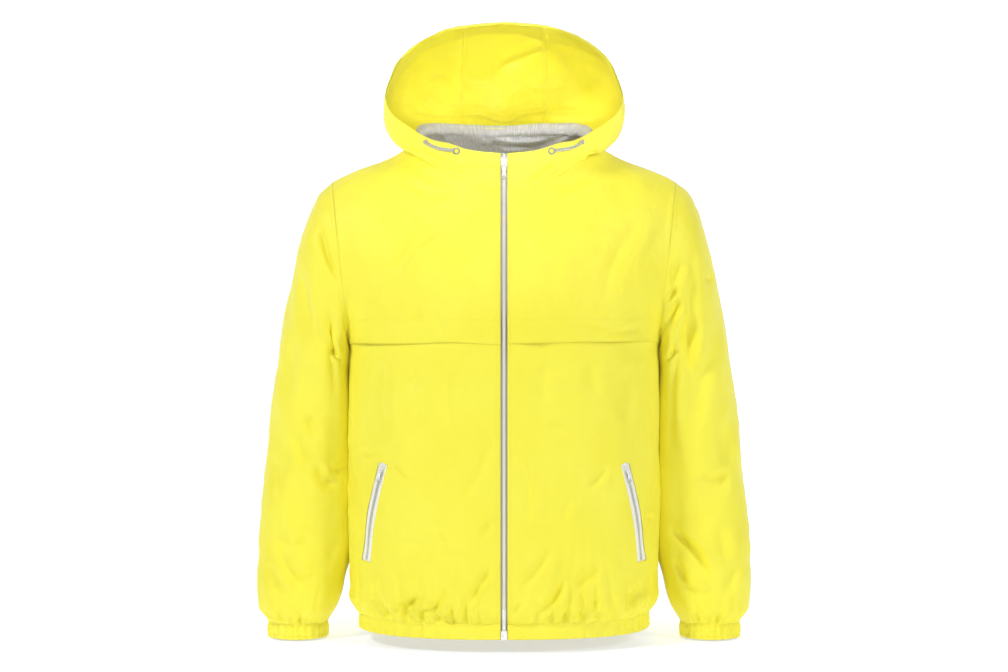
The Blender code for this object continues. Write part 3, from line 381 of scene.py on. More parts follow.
HOOD_OUTSIDE_CREASES = (
    (12, 3.0, -120, 180, -70, 150, -40, 110),
    (12, 3.0, 118, 176, 76, 140, 50, 104),
    (12, 2.4, -20, 200, 4, 150, -8, 104),
    (8, 3.2, -150, 110, -110, 96, -70, 100),
    (8, 3.2, 150, 114, 108, 98, 64, 100),
    (7, 2.6, -50, 96, 0, 90, 50, 96),
)
LINING_CREASES = (
    (5, 3.2, -32, 80, -3, 69, 30, 66, 75, 69),
    (2.4, 3.4, -112, 92, -103, 84, -79, 58),
    (2.4, 3.4, 134, 88, 104, 72, 78, 59),
    (5, 2.4, -49, 88, -38, 74, -17, 60),
    (5, 2.2, 52, 84, 69, 74),
    (5, 2.4, -6, 54, 38, 52),
    (5, 2.2, 90, 80, 106, 76),
)


def smooth_step(low, high, value):
    share = np.clip((value - low) / (high - low), 0.0, 1.0)
    return share * share * (3.0 - 2.0 * share)


def ease(low, high, value):
    share = min(1.0, max(0.0, (value - low) / (high - low)))
    return share * share * (3.0 - 2.0 * share)


def hermite(start, leave, end, arrive, share):
    square, cube = share * share, share**3
    return (
        start * (2 * cube - 3 * square + 1)
        + leave * (cube - 2 * square + share)
        + end * (3 * square - 2 * cube)
        + arrive * (cube - square)
    )


@functools.lru_cache(maxsize=None)
def row(name, value):
    """The other columns of a table at a value of its key, on a smooth curve through its rows."""
    table, key = TABLES[name], TABLE_KEYS[name]
    places = table[key]
    at = min(len(places) - 2, max(0, int(np.searchsorted(places, value)) - 1))
    step = places[at + 1] - places[at]
    share = (value - places[at]) / step
    found = {}
    for label, column in table.items():
        if label == key:
            continue
        slopes = []
        for place in (at, at + 1):
            before, after = max(0, place - 1), min(len(places) - 1, place + 1)
            slopes.append((column[after] - column[before]) / (places[after] - places[before]))
        found[label] = hermite(column[at], slopes[0] * step, column[at + 1], slopes[1] * step, share)
    return found


def trough(across, along, fold, at):
    slope = math.atan(fold["slope"][at])
    down = along * math.cos(slope) - across * math.sin(slope)
    side = across * math.cos(slope) + along * math.sin(slope)
    return fold["depth"][at] * math.exp(
        -((side / fold["half_width"][at]) ** 2) - (down / fold["half_length"][at]) ** 2
    )


# Finishes, made before the cut so that pieces can take them

EVEN = (1.0, 1.0, 1.0)
finishes = {}


def new_finish(name, roughness, sheen=0.0, sheen_tint=EVEN, specular=0.5, metallic=0.0):
    made = bpy.data.materials.new(name)
    made.use_nodes = True
    shader = made.node_tree.nodes["Principled BSDF"]
    shader.inputs["Roughness"].default_value = roughness
    shader.inputs["Metallic"].default_value = metallic
    shader.inputs["Sheen Weight"].default_value = sheen
    shader.inputs["Sheen Roughness"].default_value = 0.45
    shader.inputs["Sheen Tint"].default_value = (*sheen_tint, 1.0)
    shader.inputs["Specular IOR Level"].default_value = specular
    finishes[name] = made
    return made.node_tree, shader


def node(tree, kind, **values):
    made = tree.nodes.new(kind)
    for name, value in values.items():
        if name in made.inputs:
            made.inputs[name].default_value = value
        else:
            setattr(made, name, value)
    return made


def mapped(tree, source, scale=EVEN):
    """The piece's own UV or Object coordinates, stretched."""
    coordinates = node(tree, "ShaderNodeTexCoord")
    stretch = node(tree, "ShaderNodeMapping", Scale=scale)
    tree.links.new(coordinates.outputs[source], stretch.inputs["Vector"])
    return stretch.outputs["Vector"]


def noise_at(tree, vector, size, detail=3.0, roughness=0.55):
    made = node(tree, "ShaderNodeTexNoise", Scale=0.5 / size, Detail=detail, Roughness=roughness)
    tree.links.new(vector, made.inputs["Vector"])
    return made.outputs["Fac"]


def waves_at(tree, vector, direction, **values):
    made = node(tree, "ShaderNodeTexWave", bands_direction=direction, **values)
    tree.links.new(vector, made.inputs["Vector"])
    return made.outputs["Fac"]


def threads_at(tree, vector, pitch, direction):
    look = {"Scale": 0.314 / pitch, "Distortion": 0.6, "Detail": 1.0, "Detail Scale": 3.0}
    return waves_at(tree, vector, direction, **look)


def combine(tree, operation, first, second):
    made = node(tree, "ShaderNodeMath", operation=operation)
    for socket, value in zip(made.inputs, (first, second)):
        if isinstance(value, (int, float)):
            socket.default_value = value
        else:
            tree.links.new(value, socket)
    return made.outputs["Value"]


def average(tree, first, second):
    return combine(tree, "MULTIPLY", combine(tree, "ADD", first, second), 0.5)


def colour_by(tree, shader, factor, low, high, spread=(0.0, 1.0)):
    """Base colour from low to high, over a spread of the factor."""
    ramp = node(tree, "ShaderNodeValToRGB")
    for element, colour, position in zip(ramp.color_ramp.elements, (low, high), spread):
        element.color = (*colour, 1.0)
        element.position = position
    tree.links.new(factor, ramp.inputs["Fac"])
    tree.links.new(ramp.outputs["Color"], shader.inputs["Base Color"])


def vary_roughness(tree, shader, factor, least, more):
    rough = combine(tree, "ADD", combine(tree, "MULTIPLY", factor, more), least)
    tree.links.new(rough, shader.inputs["Roughness"])


def add_bump(tree, shader, height, distance, strength):
    bump = node(tree, "ShaderNodeBump", Strength=strength, Distance=distance)
    tree.links.new(height, bump.inputs["Height"])
    earlier = shader.inputs["Normal"].links
    if earlier:
        tree.links.new(earlier[0].from_socket, bump.inputs["Normal"])
    tree.links.new(bump.outputs["Normal"], shader.inputs["Normal"])


def make_shell():
    """Plain-woven nylon: two sets of fine threads, small crinkles and a slightly deeper yellow in places."""
    tree, shader = new_finish("shell", 0.50, sheen=0.10, sheen_tint=(1.0, 0.97, 0.55), specular=0.42)
    on_weave = mapped(tree, "UV")
    in_space = mapped(tree, "Object")
    warp = threads_at(tree, on_weave, 0.00042, "X")
    weft = threads_at(tree, on_weave, 0.00042, "Y")
    slubs = noise_at(tree, mapped(tree, "UV", (1.0, 0.06, 1.0)), 0.0007)
    broad = noise_at(tree, in_space, 0.045, detail=4.0)
    broad, slubs = combine(tree, "MULTIPLY", broad, 0.75), combine(tree, "MULTIPLY", slubs, 0.25)
    tone = combine(tree, "ADD", broad, slubs)
    colour_by(tree, shader, tone, (0.964, 0.876, 0.046), (0.998, 0.926, 0.076), (0.30, 0.70))
    vary_roughness(tree, shader, noise_at(tree, in_space, 0.006), 0.44, 0.14)
    add_bump(tree, shader, noise_at(tree, in_space, 0.011, detail=5.0, roughness=0.62), 0.0011, 0.55)
    add_bump(tree, shader, combine(tree, "MAXIMUM", warp, weft), 0.00006, 0.8)


def make_lining():
    """Heather jersey: fine knitted ribs with light and dark fibres mixed along them."""
    tree, shader = new_finish("lining", 0.92, sheen=0.25, specular=0.2)
    on_weave = mapped(tree, "UV")
    fibres = noise_at(tree, mapped(tree, "UV", (1.0, 0.35, 1.0)), 0.0011, detail=4.0, roughness=0.75)
    colour_by(tree, shader, fibres, (0.54, 0.54, 0.58), (0.88, 0.88, 0.94), (0.34, 0.66))
    ribs = threads_at(tree, on_weave, 0.0011, "X")
    loops = threads_at(tree, on_weave, 0.0008, "Y")
    add_bump(tree, shader, combine(tree, "MAXIMUM", ribs, loops), 0.00022, 0.9)
    add_bump(tree, shader, fibres, 0.0002, 0.6)


def make_tape(name, low, high):
    """Woven zip tape with raised ribs along it."""
    tree, shader = new_finish(name, 0.80, sheen=0.15, specular=0.3)
    on_weave = mapped(tree, "UV")
    ribs = threads_at(tree, on_weave, 0.0009, "X")
    picks = threads_at(tree, on_weave, 0.0006, "Y")
    colour_by(tree, shader, average(tree, ribs, noise_at(tree, on_weave, 0.0012)), low, high)
    add_bump(tree, shader, combine(tree, "MAXIMUM", ribs, picks), 0.00018, 0.9)


def make_teeth(name, low, high, metallic):
    tree, shader = new_finish(name, 0.36, metallic=metallic)
    wear = noise_at(tree, mapped(tree, "Object"), 0.0016)
    colour_by(tree, shader, wear, low, high)
    add_bump(tree, shader, wear, 0.00008, 0.5)


def make_metal(name, low, high, metallic):
    """Satin plated metal, brushed lengthways, a little duller in places."""
    tree, shader = new_finish(name, 0.30, metallic=metallic)
    brushed = noise_at(tree, mapped(tree, "Object", (1.0, 1.0, 0.08)), 0.00035)
    marks = noise_at(tree, mapped(tree, "Object"), 0.0025)
    colour_by(tree, shader, average(tree, brushed, marks), low, high)
    vary_roughness(tree, shader, marks, 0.18, 0.25)
    add_bump(tree, shader, brushed, 0.00003, 0.7)


def make_cord_finish():
    """Braided cord: crossing strands that run round it both ways, flecked grey."""
    tree, shader = new_finish("cord", 0.85, sheen=0.2, specular=0.25)
    one_way = mapped(tree, "UV")
    other_way = mapped(tree, "UV", (-1.0, 1.0, 1.0))
    first, second = (
        waves_at(tree, way, "DIAGONAL", Scale=110.0, Distortion=0.4) for way in (one_way, other_way)
    )
    strands = combine(tree, "MAXIMUM", first, second)
    flecks = noise_at(tree, one_way, 0.0009)
    colour_by(tree, shader, average(tree, strands, flecks), (0.26, 0.25, 0.20), (0.56, 0.54, 0.46))
    add_bump(tree, shader, strands, 0.0003, 0.9)


def make_thread():
    """Sewing thread in the cloth's own yellow, with its twist."""
    tree, shader = new_finish("thread", 0.60, sheen=0.2, sheen_tint=(1.0, 0.95, 0.5), specular=0.4)
    twist = noise_at(tree, mapped(tree, "Object"), 0.0004)
    colour_by(tree, shader, twist, (0.90, 0.78, 0.055), (0.985, 0.90, 0.10))
    add_bump(tree, shader, twist, 0.0001, 0.8)


make_shell()
make_lining()
make_tape("zip_tape", (0.34, 0.33, 0.26), (0.50, 0.49, 0.40))
make_tape("pocket_tape", (0.98, 0.96, 0.80), (1.0, 1.0, 0.92))
make_teeth("main_teeth", (0.95, 0.95, 0.92), (1.0, 1.0, 0.99), 0.0)
make_teeth("pocket_teeth", (0.52, 0.52, 0.48), (0.68, 0.68, 0.63), 0.1)
make_metal("metal", (0.86, 0.86, 0.85), (0.98, 0.98, 0.97), 0.30)
# Dark eyelet metal; the same finish colours the rings of painted shade round the pull holes
make_metal("eyelet", (0.30, 0.29, 0.25), (0.46, 0.45, 0.40), 0.5)
make_cord_finish()
make_thread()


# The cut of the jacket


def zip_gap(turn):
    """Half the opening at the zip, dying away towards the side."""
    return ZIP_HALF * max(0.0, 1.0 - turn / 90.0) ** 4


def flat_out(point):
    """The level direction away from the middle of the body."""
    return Vector((point.x, point.y - SIDE_Y, 0.0)).normalized()


def mirrored(point, side):
    return Vector((point.x * side, point.y, point.z))


def corner_of(sizes, name):
    return Vector((sizes[name + "x"], sizes[name + "y"], sizes[name + "z"]))


def body_section(turn, z):
    """A point of the body's section. Turn is 0 at the zip, 90 at the side, 180 at the back."""
    sizes = row("body", z)
    angle = math.radians(turn)
    sine, cosine = math.sin(angle), math.cos(angle)
    reach = (abs(sine) ** ROUNDNESS + abs(cosine) ** ROUNDNESS) ** (-1.0 / ROUNDNESS)
    depth = sizes["front"] if cosine > 0 else sizes["back"]
    point = Vector((sizes["half_width"] * sine * reach + zip_gap(turn), SIDE_Y - depth * cosine * reach, z))
    inward = 0.0
    for fold in range(len(BODY_FOLDS["turn"])):
        across = math.radians(turn - BODY_FOLDS["turn"][fold]) * BODY_RADIUS
        inward += trough(across, z - BODY_FOLDS["z"][fold], BODY_FOLDS, fold)
    inward *= ease(0.0, 16.0, turn) * ease(0.0, 16.0, 180.0 - turn)
    inward *= ease(HEM_TOP_Z, HEM_TOP_Z + 0.02, z) * ease(UNDERARM_Z, UNDERARM_Z - 0.05, z)
    return point - flat_out(point) * inward


def neckline(turn):
    angle = math.radians(turn)
    return Vector(
        (
            NECK_HALF_WIDTH * math.sin(angle) + zip_gap(turn),
            NECK_CENTRE_Y - NECK_HALF_DEPTH * math.cos(angle),
            NECK_MIDDLE_Z - NECK_TILT * math.cos(angle) + NECK_SIDE_RISE * math.sin(angle) ** 2,
        )
    )


@functools.lru_cache(maxsize=None)
def panel_top(across, front):
    if across < NECK_SHARE:
        turn = 90.0 * across / NECK_SHARE
        return neckline(turn if front else 180.0 - turn)
    share = (across - NECK_SHARE) / (1.0 - NECK_SHARE)
    sag = SHOULDER_SAG * math.sin(math.pi * share) * (1.0 - share) ** 2
    return neckline(90.0).lerp(SHOULDER_POINT, share) - Vector((0.0, 0.0, sag))


@functools.lru_cache(maxsize=None)
def rounded_top(across, front):
    total = Vector()
    for step in CORNER_STEPS:
        place = across + step
        if place > 1.0:
            total += panel_top(1.0, front) * 2.0 - panel_top(2.0 - place, front)
        else:
            total += panel_top(max(0.0, place), front)
    return panel_top(across, front).lerp(total / len(CORNER_STEPS), ease(0.04, 0.26, across))


def armhole(share, front):
    side = -1.0 if front else 1.0
    leave = Vector((ARMHOLE_LEAVE.x, side * ARMHOLE_LEAVE.y, ARMHOLE_LEAVE.z))
    arrive = Vector((ARMHOLE_ARRIVE.x, -side * ARMHOLE_ARRIVE.y, ARMHOLE_ARRIVE.z))
    return hermite(body_section(90.0, UNDERARM_Z), leave, SHOULDER_POINT, arrive, share)


@functools.lru_cache(maxsize=None)
def column_ends(across, front):
    turn = 90.0 * across if front else 180.0 - 90.0 * across
    ends = row("panel_top", across)
    side = "front" if front else "back"
    arrive = Vector((ends["both_x"], ends[side + "_y"], ends[side + "_z"]))
    rounded = rounded_top(across, front)
    return body_section(turn, UNDERARM_Z), rounded, arrive, panel_top(across, front) - rounded


def upper_column(across, up, front):
    start, rounded, arrive, corner = column_ends(across, front)
    return hermite(start, Vector((0.0, 0.0, PANEL_RISE)), rounded, arrive, up) + corner * up**CORNER_HOLD


def torso(across, height, front):
    """Across runs from the middle to the side. Height is 0 at the hem band, 1 at the underarm, 2 on top."""
    if height <= 1.0:
        turn = 90.0 * across if front else 180.0 - 90.0 * across
        return body_section(turn, HEM_TOP_Z + (UNDERARM_Z - HEM_TOP_Z) * height)
    up = height - 1.0
    reach = across ** (1.5 + 5.0 * (1.0 - up) ** 3)
    point = upper_column(across, up, front)
    point += (armhole(up, front) - upper_column(1.0, up, front)) * reach
    fullness = CHEST_FULLNESS * math.sin(math.pi * up) ** 2 * math.sin(math.pi * across) ** 2
    return point + Vector((0.0, -fullness if front else fullness, 0.0))


def front_surface(across, height):
    return torso(across, height, True)


def back_surface(across, height):
    return mirrored(torso(abs(across), height, False), math.copysign(1.0, across))


def body_clearance(point):
    sizes = row("body", min(UNDERARM_Z, max(HEM_TOP_Z, round(point.z, 4))))
    depth = sizes["front"] if point.y < SIDE_Y else sizes["back"]
    share = min(1.0, abs(point.y - SIDE_Y) / depth)
    return sizes["half_width"] * (1.0 - share**ROUNDNESS) ** (1.0 / ROUNDNESS) + SLEEVE_CLEAR


def sleeve_section(turn, along):
    """Turn is 0 at the outer side, 90 at the front, 180 at the inner side, 270 at the back."""
    sizes = row("sleeve", along)
    angle = math.radians(turn)
    outer = Vector((sizes["outer_x"], 0.0, sizes["outer_z"]))
    inner = Vector((sizes["inner_x"], 0.0, sizes["inner_z"]))
    middle = (outer + inner) * 0.5
    middle.y = sizes["centre_y"]
    sine, cosine = math.sin(angle), math.cos(angle)
    reach = (abs(sine) ** SLEEVE_ROUNDNESS + abs(cosine) ** SLEEVE_ROUNDNESS) ** (-1.0 / SLEEVE_ROUNDNESS)
    forward = Vector((0.0, -sizes["half_depth"] * sine * reach, 0.0))
    return middle + (outer - inner) * 0.5 * cosine * reach + forward


def sleeve(turn, along):
    point = sleeve_section(turn, along)
    turn = turn % 360.0
    front = turn <= 180.0
    share = 1.0 - turn / 180.0 if front else turn / 180.0 - 1.0
    blend = (1.0 - ease(0.0, 0.24, along)) ** 1.5
    if blend > 0.0:
        point = point + (armhole(share, front) - sleeve_section(turn, 0.0)) * blend
    if along > 0.02 and point.z < UNDERARM_Z:
        point.x = max(point.x, body_clearance(point))
    inward = 0.0
    for fold in range(len(SLEEVE_FOLDS["turn"])):
        away = (turn - SLEEVE_FOLDS["turn"][fold] + 180.0) % 360.0 - 180.0
        down = (along - SLEEVE_FOLDS["along"][fold]) * SLEEVE_LENGTH
        inward += trough(math.radians(away) * SLEEVE_RADIUS, down, SLEEVE_FOLDS, fold)
    inward *= ease(0.08, 0.2, along) * ease(1.0, 0.92, along)
    sizes = row("sleeve", along)
    middle = Vector(((sizes["outer_x"] + sizes["inner_x"]) / 2, sizes["centre_y"], point.z))
    outward = (point - middle).normalized()
    if outward.x < -0.3:
        inward *= max(0.0, 1.0 + (outward.x + 0.3) * 2.0)
    return point - outward * inward


@functools.lru_cache(maxsize=None)
def hood_column(share):
    sizes = row("hood", share)
    points = [
        corner_of(row("rim", share), ""),
        corner_of(sizes, "fore_"),
        corner_of(sizes, "aft_"),
        neckline(180.0 * share),
    ]
    if share == 0.0:
        for point in points:
            point.x = ZIP_HALF
    return points


def hood(share, down):
    """Share runs from the zip to the middle of the back, down from the face opening to the neckline."""
    up = 1.0 - down
    total = Vector()
    for point, weight in zip(hood_column(share), (up**3, 3 * up * up * down, 3 * up * down * down, down**3)):
        total += point * weight
    return total


def hood_middle(across, down):
    return mirrored(hood(1.0 - abs(across), down), math.copysign(1.0, across))


@functools.lru_cache(maxsize=None)
def hem_reach(share):
    return min(0.42, HOOD_HEM_WIDTH / ((hood(share, 0.02) - hood(share, 0.0)).length / 0.02))


def other_side(surface, side):
    def turned(u, v):
        return mirrored(surface(u, v), side)

    return turned


def stops(low, high, count, edge=None):
    """Even stops, with two more close to each end where a seam rolls in."""
    places = list(np.linspace(low, high, count + 1))
    if edge:
        places += [low + edge, low + 2.4 * edge, high - edge, high - 2.4 * edge]
    return sorted(float(place) for place in places)


# Cloth laid on those surfaces

laid = {}


def arc_lengths(points):
    """Distance along each grid line from its first point, both ways."""
    round_steps = np.linalg.norm(np.diff(points, axis=0), axis=2)
    down_steps = np.linalg.norm(np.diff(points, axis=1), axis=2)
    round_length = np.vstack([np.zeros((1, points.shape[1])), np.cumsum(round_steps, axis=0)])
    down_length = np.hstack([np.zeros((points.shape[0], 1)), np.cumsum(down_steps, axis=1)])
    return round_length, down_length


def grid_normals(points, closed):
    if closed:
        ring = points[:-1]
        along = np.roll(ring, -1, axis=0) - np.roll(ring, 1, axis=0)
        along = np.vstack([along, along[:1]])
    else:
        along = np.gradient(points, axis=0)
    normal = np.cross(along, np.gradient(points, axis=1))
    return normal / np.maximum(np.linalg.norm(normal, axis=2, keepdims=True), 1e-9)


def smooth_route(corners):
    """A route through its corners as a soft curve, in metres."""
    corners = np.array(corners, float).reshape(-1, 2) * MILLIMETRE
    if len(corners) == 2:
        return corners
    ends = np.vstack([2 * corners[0] - corners[1], corners, 2 * corners[-1] - corners[-2]])
    route = []
    for at in range(len(corners) - 1):
        before, start, end, after = ends[at : at + 4]
        bend = 2 * before - 5 * start + 4 * end - after
        twist = 3 * start - before - 3 * end + after
        for share in np.arange(ROUTE_STEPS) / ROUTE_STEPS:
            square, cube = share * share, share**3
            route.append(0.5 * (2 * start + (end - before) * share + bend * square) + 0.5 * twist * cube)
    route.append(corners[-1])
    return np.array(route)


def crease_depth(points, creases, view=(0, 2)):
    """How deep creases run under points seen in a flat view: a narrow trough with a soft lip."""
    flat = points[..., view]
    total = np.zeros(flat.shape[:-1])
    for width, depth, *corners in creases:
        route = smooth_route(corners)
        steps = np.linalg.norm(np.diff(route, axis=0), axis=1)
        length, gone = steps.sum(), 0.0
        nearest = np.full(total.shape, 1e9)
        side = np.zeros(total.shape)
        place = np.zeros(total.shape)
        for start, end, step in zip(route[:-1], route[1:], steps):
            along = (end - start) / step
            away = flat - start
            share = np.clip((away @ along) / step, 0.0, 1.0)
            gap = away - share[..., None] * (end - start)
            distance = np.hypot(gap[..., 0], gap[..., 1])
            closer = distance < nearest
            nearest = np.where(closer, distance, nearest)
            side = np.where(closer, along[0] * away[..., 1] - along[1] * away[..., 0], side)
            place = np.where(closer, (gone + share * step) / length, place)
            gone += step
        wide, deep = CREASE_WIDTH * width * MILLIMETRE, depth * MILLIMETRE
        taper = smooth_step(-0.05, 0.30, place) * smooth_step(1.05, 0.65, place)
        trough_shape = np.exp(-((nearest / wide) ** 2) ** 0.8)
        lip = np.exp(-(((np.sign(side) * nearest - 1.7 * wide) / wide) ** 2))
        total += CREASE_STRENGTH * deep * taper * (trough_shape - 0.42 * lip)
    return total


def soft_noise(points, size, seed):
    scaled = points.reshape(-1, 3) / size + seed
    found = [noise.noise(Vector(place)) for place in scaled]
    return np.array(found).reshape(points.shape[:-1])


def rumple(points, seed):
    """Uneven ease all over light cloth: broad swells and small crinkles."""
    swell = soft_noise(points * np.array((1.0, 1.0, 0.6)), 0.055, seed)
    crinkle = soft_noise(points, 0.019, seed + 7.0)
    fine = soft_noise(points, 0.008, seed + 13.0)
    return 0.0021 * swell + 0.0010 * crinkle * (0.6 + np.abs(swell) * 2.0) + 0.00022 * fine


def add_object(name, data):
    thing = bpy.data.objects.new(name, data)
    bpy.context.scene.collection.objects.link(thing)
    return thing


def new_mesh(name, bm, material):
    mesh = bpy.data.meshes.new(name)
    bm.to_mesh(mesh)
    bm.free()
    mesh.shade_smooth()
    mesh.materials.append(material)
    return mesh


def add_mesh(name, bm, finish, body="jacket"):
    thing = add_object(name, new_mesh(name, bm, finishes[finish]))
    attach(thing, body)
    return thing


def place_on_grid(bm, columns, rows, place, uv):
    """Moves a new grid's corners to place(column, row) and gives them uv(column, row)."""
    bmesh.ops.create_grid(bm, x_segments=columns, y_segments=rows, size=0.5)
    weave = bm.loops.layers.uv.new("weave")
    cells = [(round((vert.co.x + 0.5) * columns), round((vert.co.y + 0.5) * rows)) for vert in bm.verts]
    for vert, cell in zip(bm.verts, cells):
        vert.co = place(*cell)
    bm.verts.index_update()
    for face in bm.faces:
        for loop in face.loops:
            loop[weave].uv = uv(*cells[loop.vert.index])


def cell_of(marks, place):
    """The gap between rising or falling marks that a place is in, and how far along it."""
    turn = 1.0 if marks[0] < marks[-1] else -1.0
    at = min(len(marks) - 2, max(0, int(np.searchsorted(turn * marks, turn * place)) - 1))
    return at, (place - marks[at]) / (marks[at + 1] - marks[at])


def lay_cloth(
    name, node, surface, us, vs, held, cut=None, relief=None, outward=1.0, offset=None, closed=False,
    seams=(), fade=True, joins=(), rows=(), finish="shell", thick=SHELL_THICK,
):
    """A piece of cloth over surface(u, v), creased, sewn down at its seams and given its thickness.

    Seams sink at their edge and joins lie flat there, with no crease. Rows of sewing, each an edge, a
    distance from it and how much it puckers, sink a little. Offset is how far the cloth stands off.
    """
    points = np.array([[tuple(surface(u, v)) for v in vs] for u in us])
    normal = grid_normals(points, closed) * outward
    round_length, down_length = arc_lengths(points)
    push = relief(points, normal) if relief else np.zeros(points.shape[:2])
    reach = {
        "u0": round_length,
        "u1": round_length[-1:] - round_length,
        "v0": down_length,
        "v1": down_length[:, -1:] - down_length,
    }
    sink = np.zeros(push.shape)
    for edge in seams:
        if fade:
            push = push * smooth_step(0.0, SEAM_CALM, reach[edge])
        sink += SEAM_SINK * np.exp(-((reach[edge] / SEAM_REACH) ** 2))
    for edge in joins:
        push = push * smooth_step(0.0, JOIN_CALM, reach[edge])
    for edge, distance, puckers in rows:
        away = reach[edge] - distance
        other = down_length if edge[0] == "u" else round_length
        pucker = 1.0 + puckers * np.sin(other / PUCKER_PITCH + 2.0 * np.sin(other / PUCKER_DRIFT))
        sink += ROW_SINK * pucker * np.exp(-((away / ROW_WIDTH) ** 2))
    if offset:
        sink -= np.array([[offset(u, v) for v in vs] for u in us])
    points = points + normal * (push - sink)[..., None]
    if closed:
        points[-1] = points[0]
    laid[name] = (np.array(us), np.array(vs), points, grid_normals(points, closed) * outward)

    columns, lines = len(us) - 1, len(vs) - 1
    mean_round, mean_down = round_length.mean(axis=1), down_length.mean(axis=0)
    bm = bmesh.new()
    place_on_grid(
        bm, columns, lines, lambda column, line: points[column, line],
        lambda column, line: (mean_round[column], mean_down[line]),
    )
    if closed:
        bmesh.ops.remove_doubles(bm, verts=bm.verts, dist=1e-7)
    bm.normal_update()
    middle = Vector(points[columns // 2, lines // 2])
    middle_face = min(bm.faces, key=lambda face: (face.calc_center_median() - middle).length)
    if middle_face.normal.dot(Vector(laid[name][3][columns // 2, lines // 2])) < 0.0:
        bmesh.ops.reverse_faces(bm, faces=bm.faces)
    piece = add_mesh(name, bm, finish)
    wall = piece.modifiers.new("wall", "SOLIDIFY")
    wall.thickness = thick
    wall.offset = -1.0
    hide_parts(node)
    if held:
        wide, long = cut or (float(round_length[-1].max()), float(down_length[:, -1].max()))
        wide, long = math.ceil(wide * 1000) / 1000, math.ceil(long * 1000) / 1000


def on_cloth(name, u, v):
    """A point of a laid piece, with its outward normal."""
    us, vs, points, normals = laid[name]
    column, right = cell_of(us, u)
    line, down = cell_of(vs, v)
    corner = ((1 - right) * (1 - down), right * (1 - down), (1 - right) * down, right * down)
    cells = ((column, line), (column + 1, line), (column, line + 1), (column + 1, line + 1))
    point = sum(points[cell] * share for cell, share in zip(cells, corner))
    normal = sum(normals[cell] * share for cell, share in zip(cells, corner))
    return Vector(point), Vector(normal).normalized()


# Sewing

STITCH_LENGTH = 0.0022
STITCH_RISE = 0.00012
THREAD_RADIUS = 0.00023
stitches = []


def edge_path(piece, edge, distance, count):
    """Places along a grid edge of a laid piece, a distance in from it."""
    us, vs, points, _ = laid[piece]
    round_length, down_length = arc_lengths(points)
    path = []
    for share in np.linspace(0.004, 0.996, count):
        if edge[0] == "v":
            column = round(share * (len(us) - 1))
            lengths = down_length[column]
            target = distance if edge == "v0" else lengths[-1] - distance
            place = (us[column], float(np.interp(target, lengths, vs)))
        else:
            line = round(share * (len(vs) - 1))
            lengths = round_length[:, line]
            target = distance if edge == "u0" else lengths[-1] - distance
            place = (float(np.interp(target, lengths, us)), vs[line])
        if not path or place != path[-1]:
            path.append(place)
    return path


def sew_row(piece, edge, distance, count=160, pitch=0.0030, inward=False):
    """Remembers a row of stitches beside an edge of a laid piece, outside or inside it."""
    spots = [on_cloth(piece, u, v) for u, v in edge_path(piece, edge, distance, count)]
    offset = -SHELL_THICK - STITCH_RISE if inward else STITCH_RISE
    gone, target = 0.0, pitch * 0.5
    for (start, first), (end, second) in zip(spots[:-1], spots[1:]):
        step = (end - start).length
        while step > 1e-9 and target <= gone + step:
            share = (target - gone) / step
            normal = first.lerp(second, share).normalized()
            stitches.append((start.lerp(end, share) + normal * offset, (end - start).normalized(), normal))
            target += pitch
        gone += step


def repeat_mould(bm, mould, place):
    """Adds one copy of a mould's corners and faces, with its corners moved by place."""
    made = [bm.verts.new(place(vert.co)) for vert in mould.verts]
    for face in mould.faces:
        bm.faces.new([made[vert.index] for vert in face.verts])


def sew_stitches(name):
    """Every remembered stitch in one mesh: short thread arcs that dive into the cloth at both ends."""
    bm = bmesh.new()
    mould = bmesh.new()
    bmesh.ops.create_cone(mould, segments=5, radius1=1.0, radius2=1.0, depth=1.0)
    upright = [edge for edge in mould.edges if abs(edge.verts[0].co.z - edge.verts[1].co.z) > 0.5]
    bmesh.ops.subdivide_edges(mould, edges=upright, cuts=3)
    mould.verts.index_update()
    for point, along, normal in stitches:
        across = along.cross(normal)

        def arc(place):
            thin = 1.0 - 0.35 * (2.0 * place.z) ** 2
            dip = THREAD_RADIUS * (0.9 - 2.6 * (2.0 * place.z) ** 2)
            return (
                point
                + along * place.z * STITCH_LENGTH
                + across * place.x * THREAD_RADIUS * thin
                + normal * (place.y * THREAD_RADIUS * thin + dip)
            )

        repeat_mould(bm, mould, arc)
    mould.free()
    bmesh.ops.recalc_face_normals(bm, faces=bm.faces)
    add_mesh(name, bm, "thread")


# Relief of each piece


def gathers(turn, level, start, reach, pitch, depth, seed):
    """Small pleats that fan out from a gathered edge and die away."""
    away = (level - start) / reach
    fade = np.exp(-np.maximum(away, 0.0) * 1.6)
    drift = 0.9 * np.sin(turn * 2.3 + seed) + 1.3 * np.sin(turn * 5.1 + 2.0 * seed) * (0.4 + away)
    wave = np.sin(turn / pitch + drift + 2.0 * away * np.sin(turn * 7.0 + seed))
    uneven = 0.55 + 0.45 * np.sin(turn * 3.7 + seed * 1.7) ** 2
    joined = 0.15 + 0.85 * smooth_step(0.0, 0.0070, level - start)
    return depth * fade * uneven * joined * (0.5 + 0.5 * wave) ** 2.5


def pocket_calm(points):
    """Fades every crease beside the pocket zips, which hold the cloth flat."""
    top, end = POCKET_TOP, POCKET_END
    along = np.array((top.x - end.x, top.z - end.z))
    length = np.linalg.norm(along)
    along /= length
    away = np.stack([np.abs(points[..., 0]) - end.x, points[..., 2] - end.z], axis=-1)
    share = np.clip(away @ along, -POCKET_END_CALM, length + POCKET_END_CALM)
    distance = np.linalg.norm(away - share[..., None] * along, axis=-1)
    return smooth_step(*POCKET_CALM, distance)


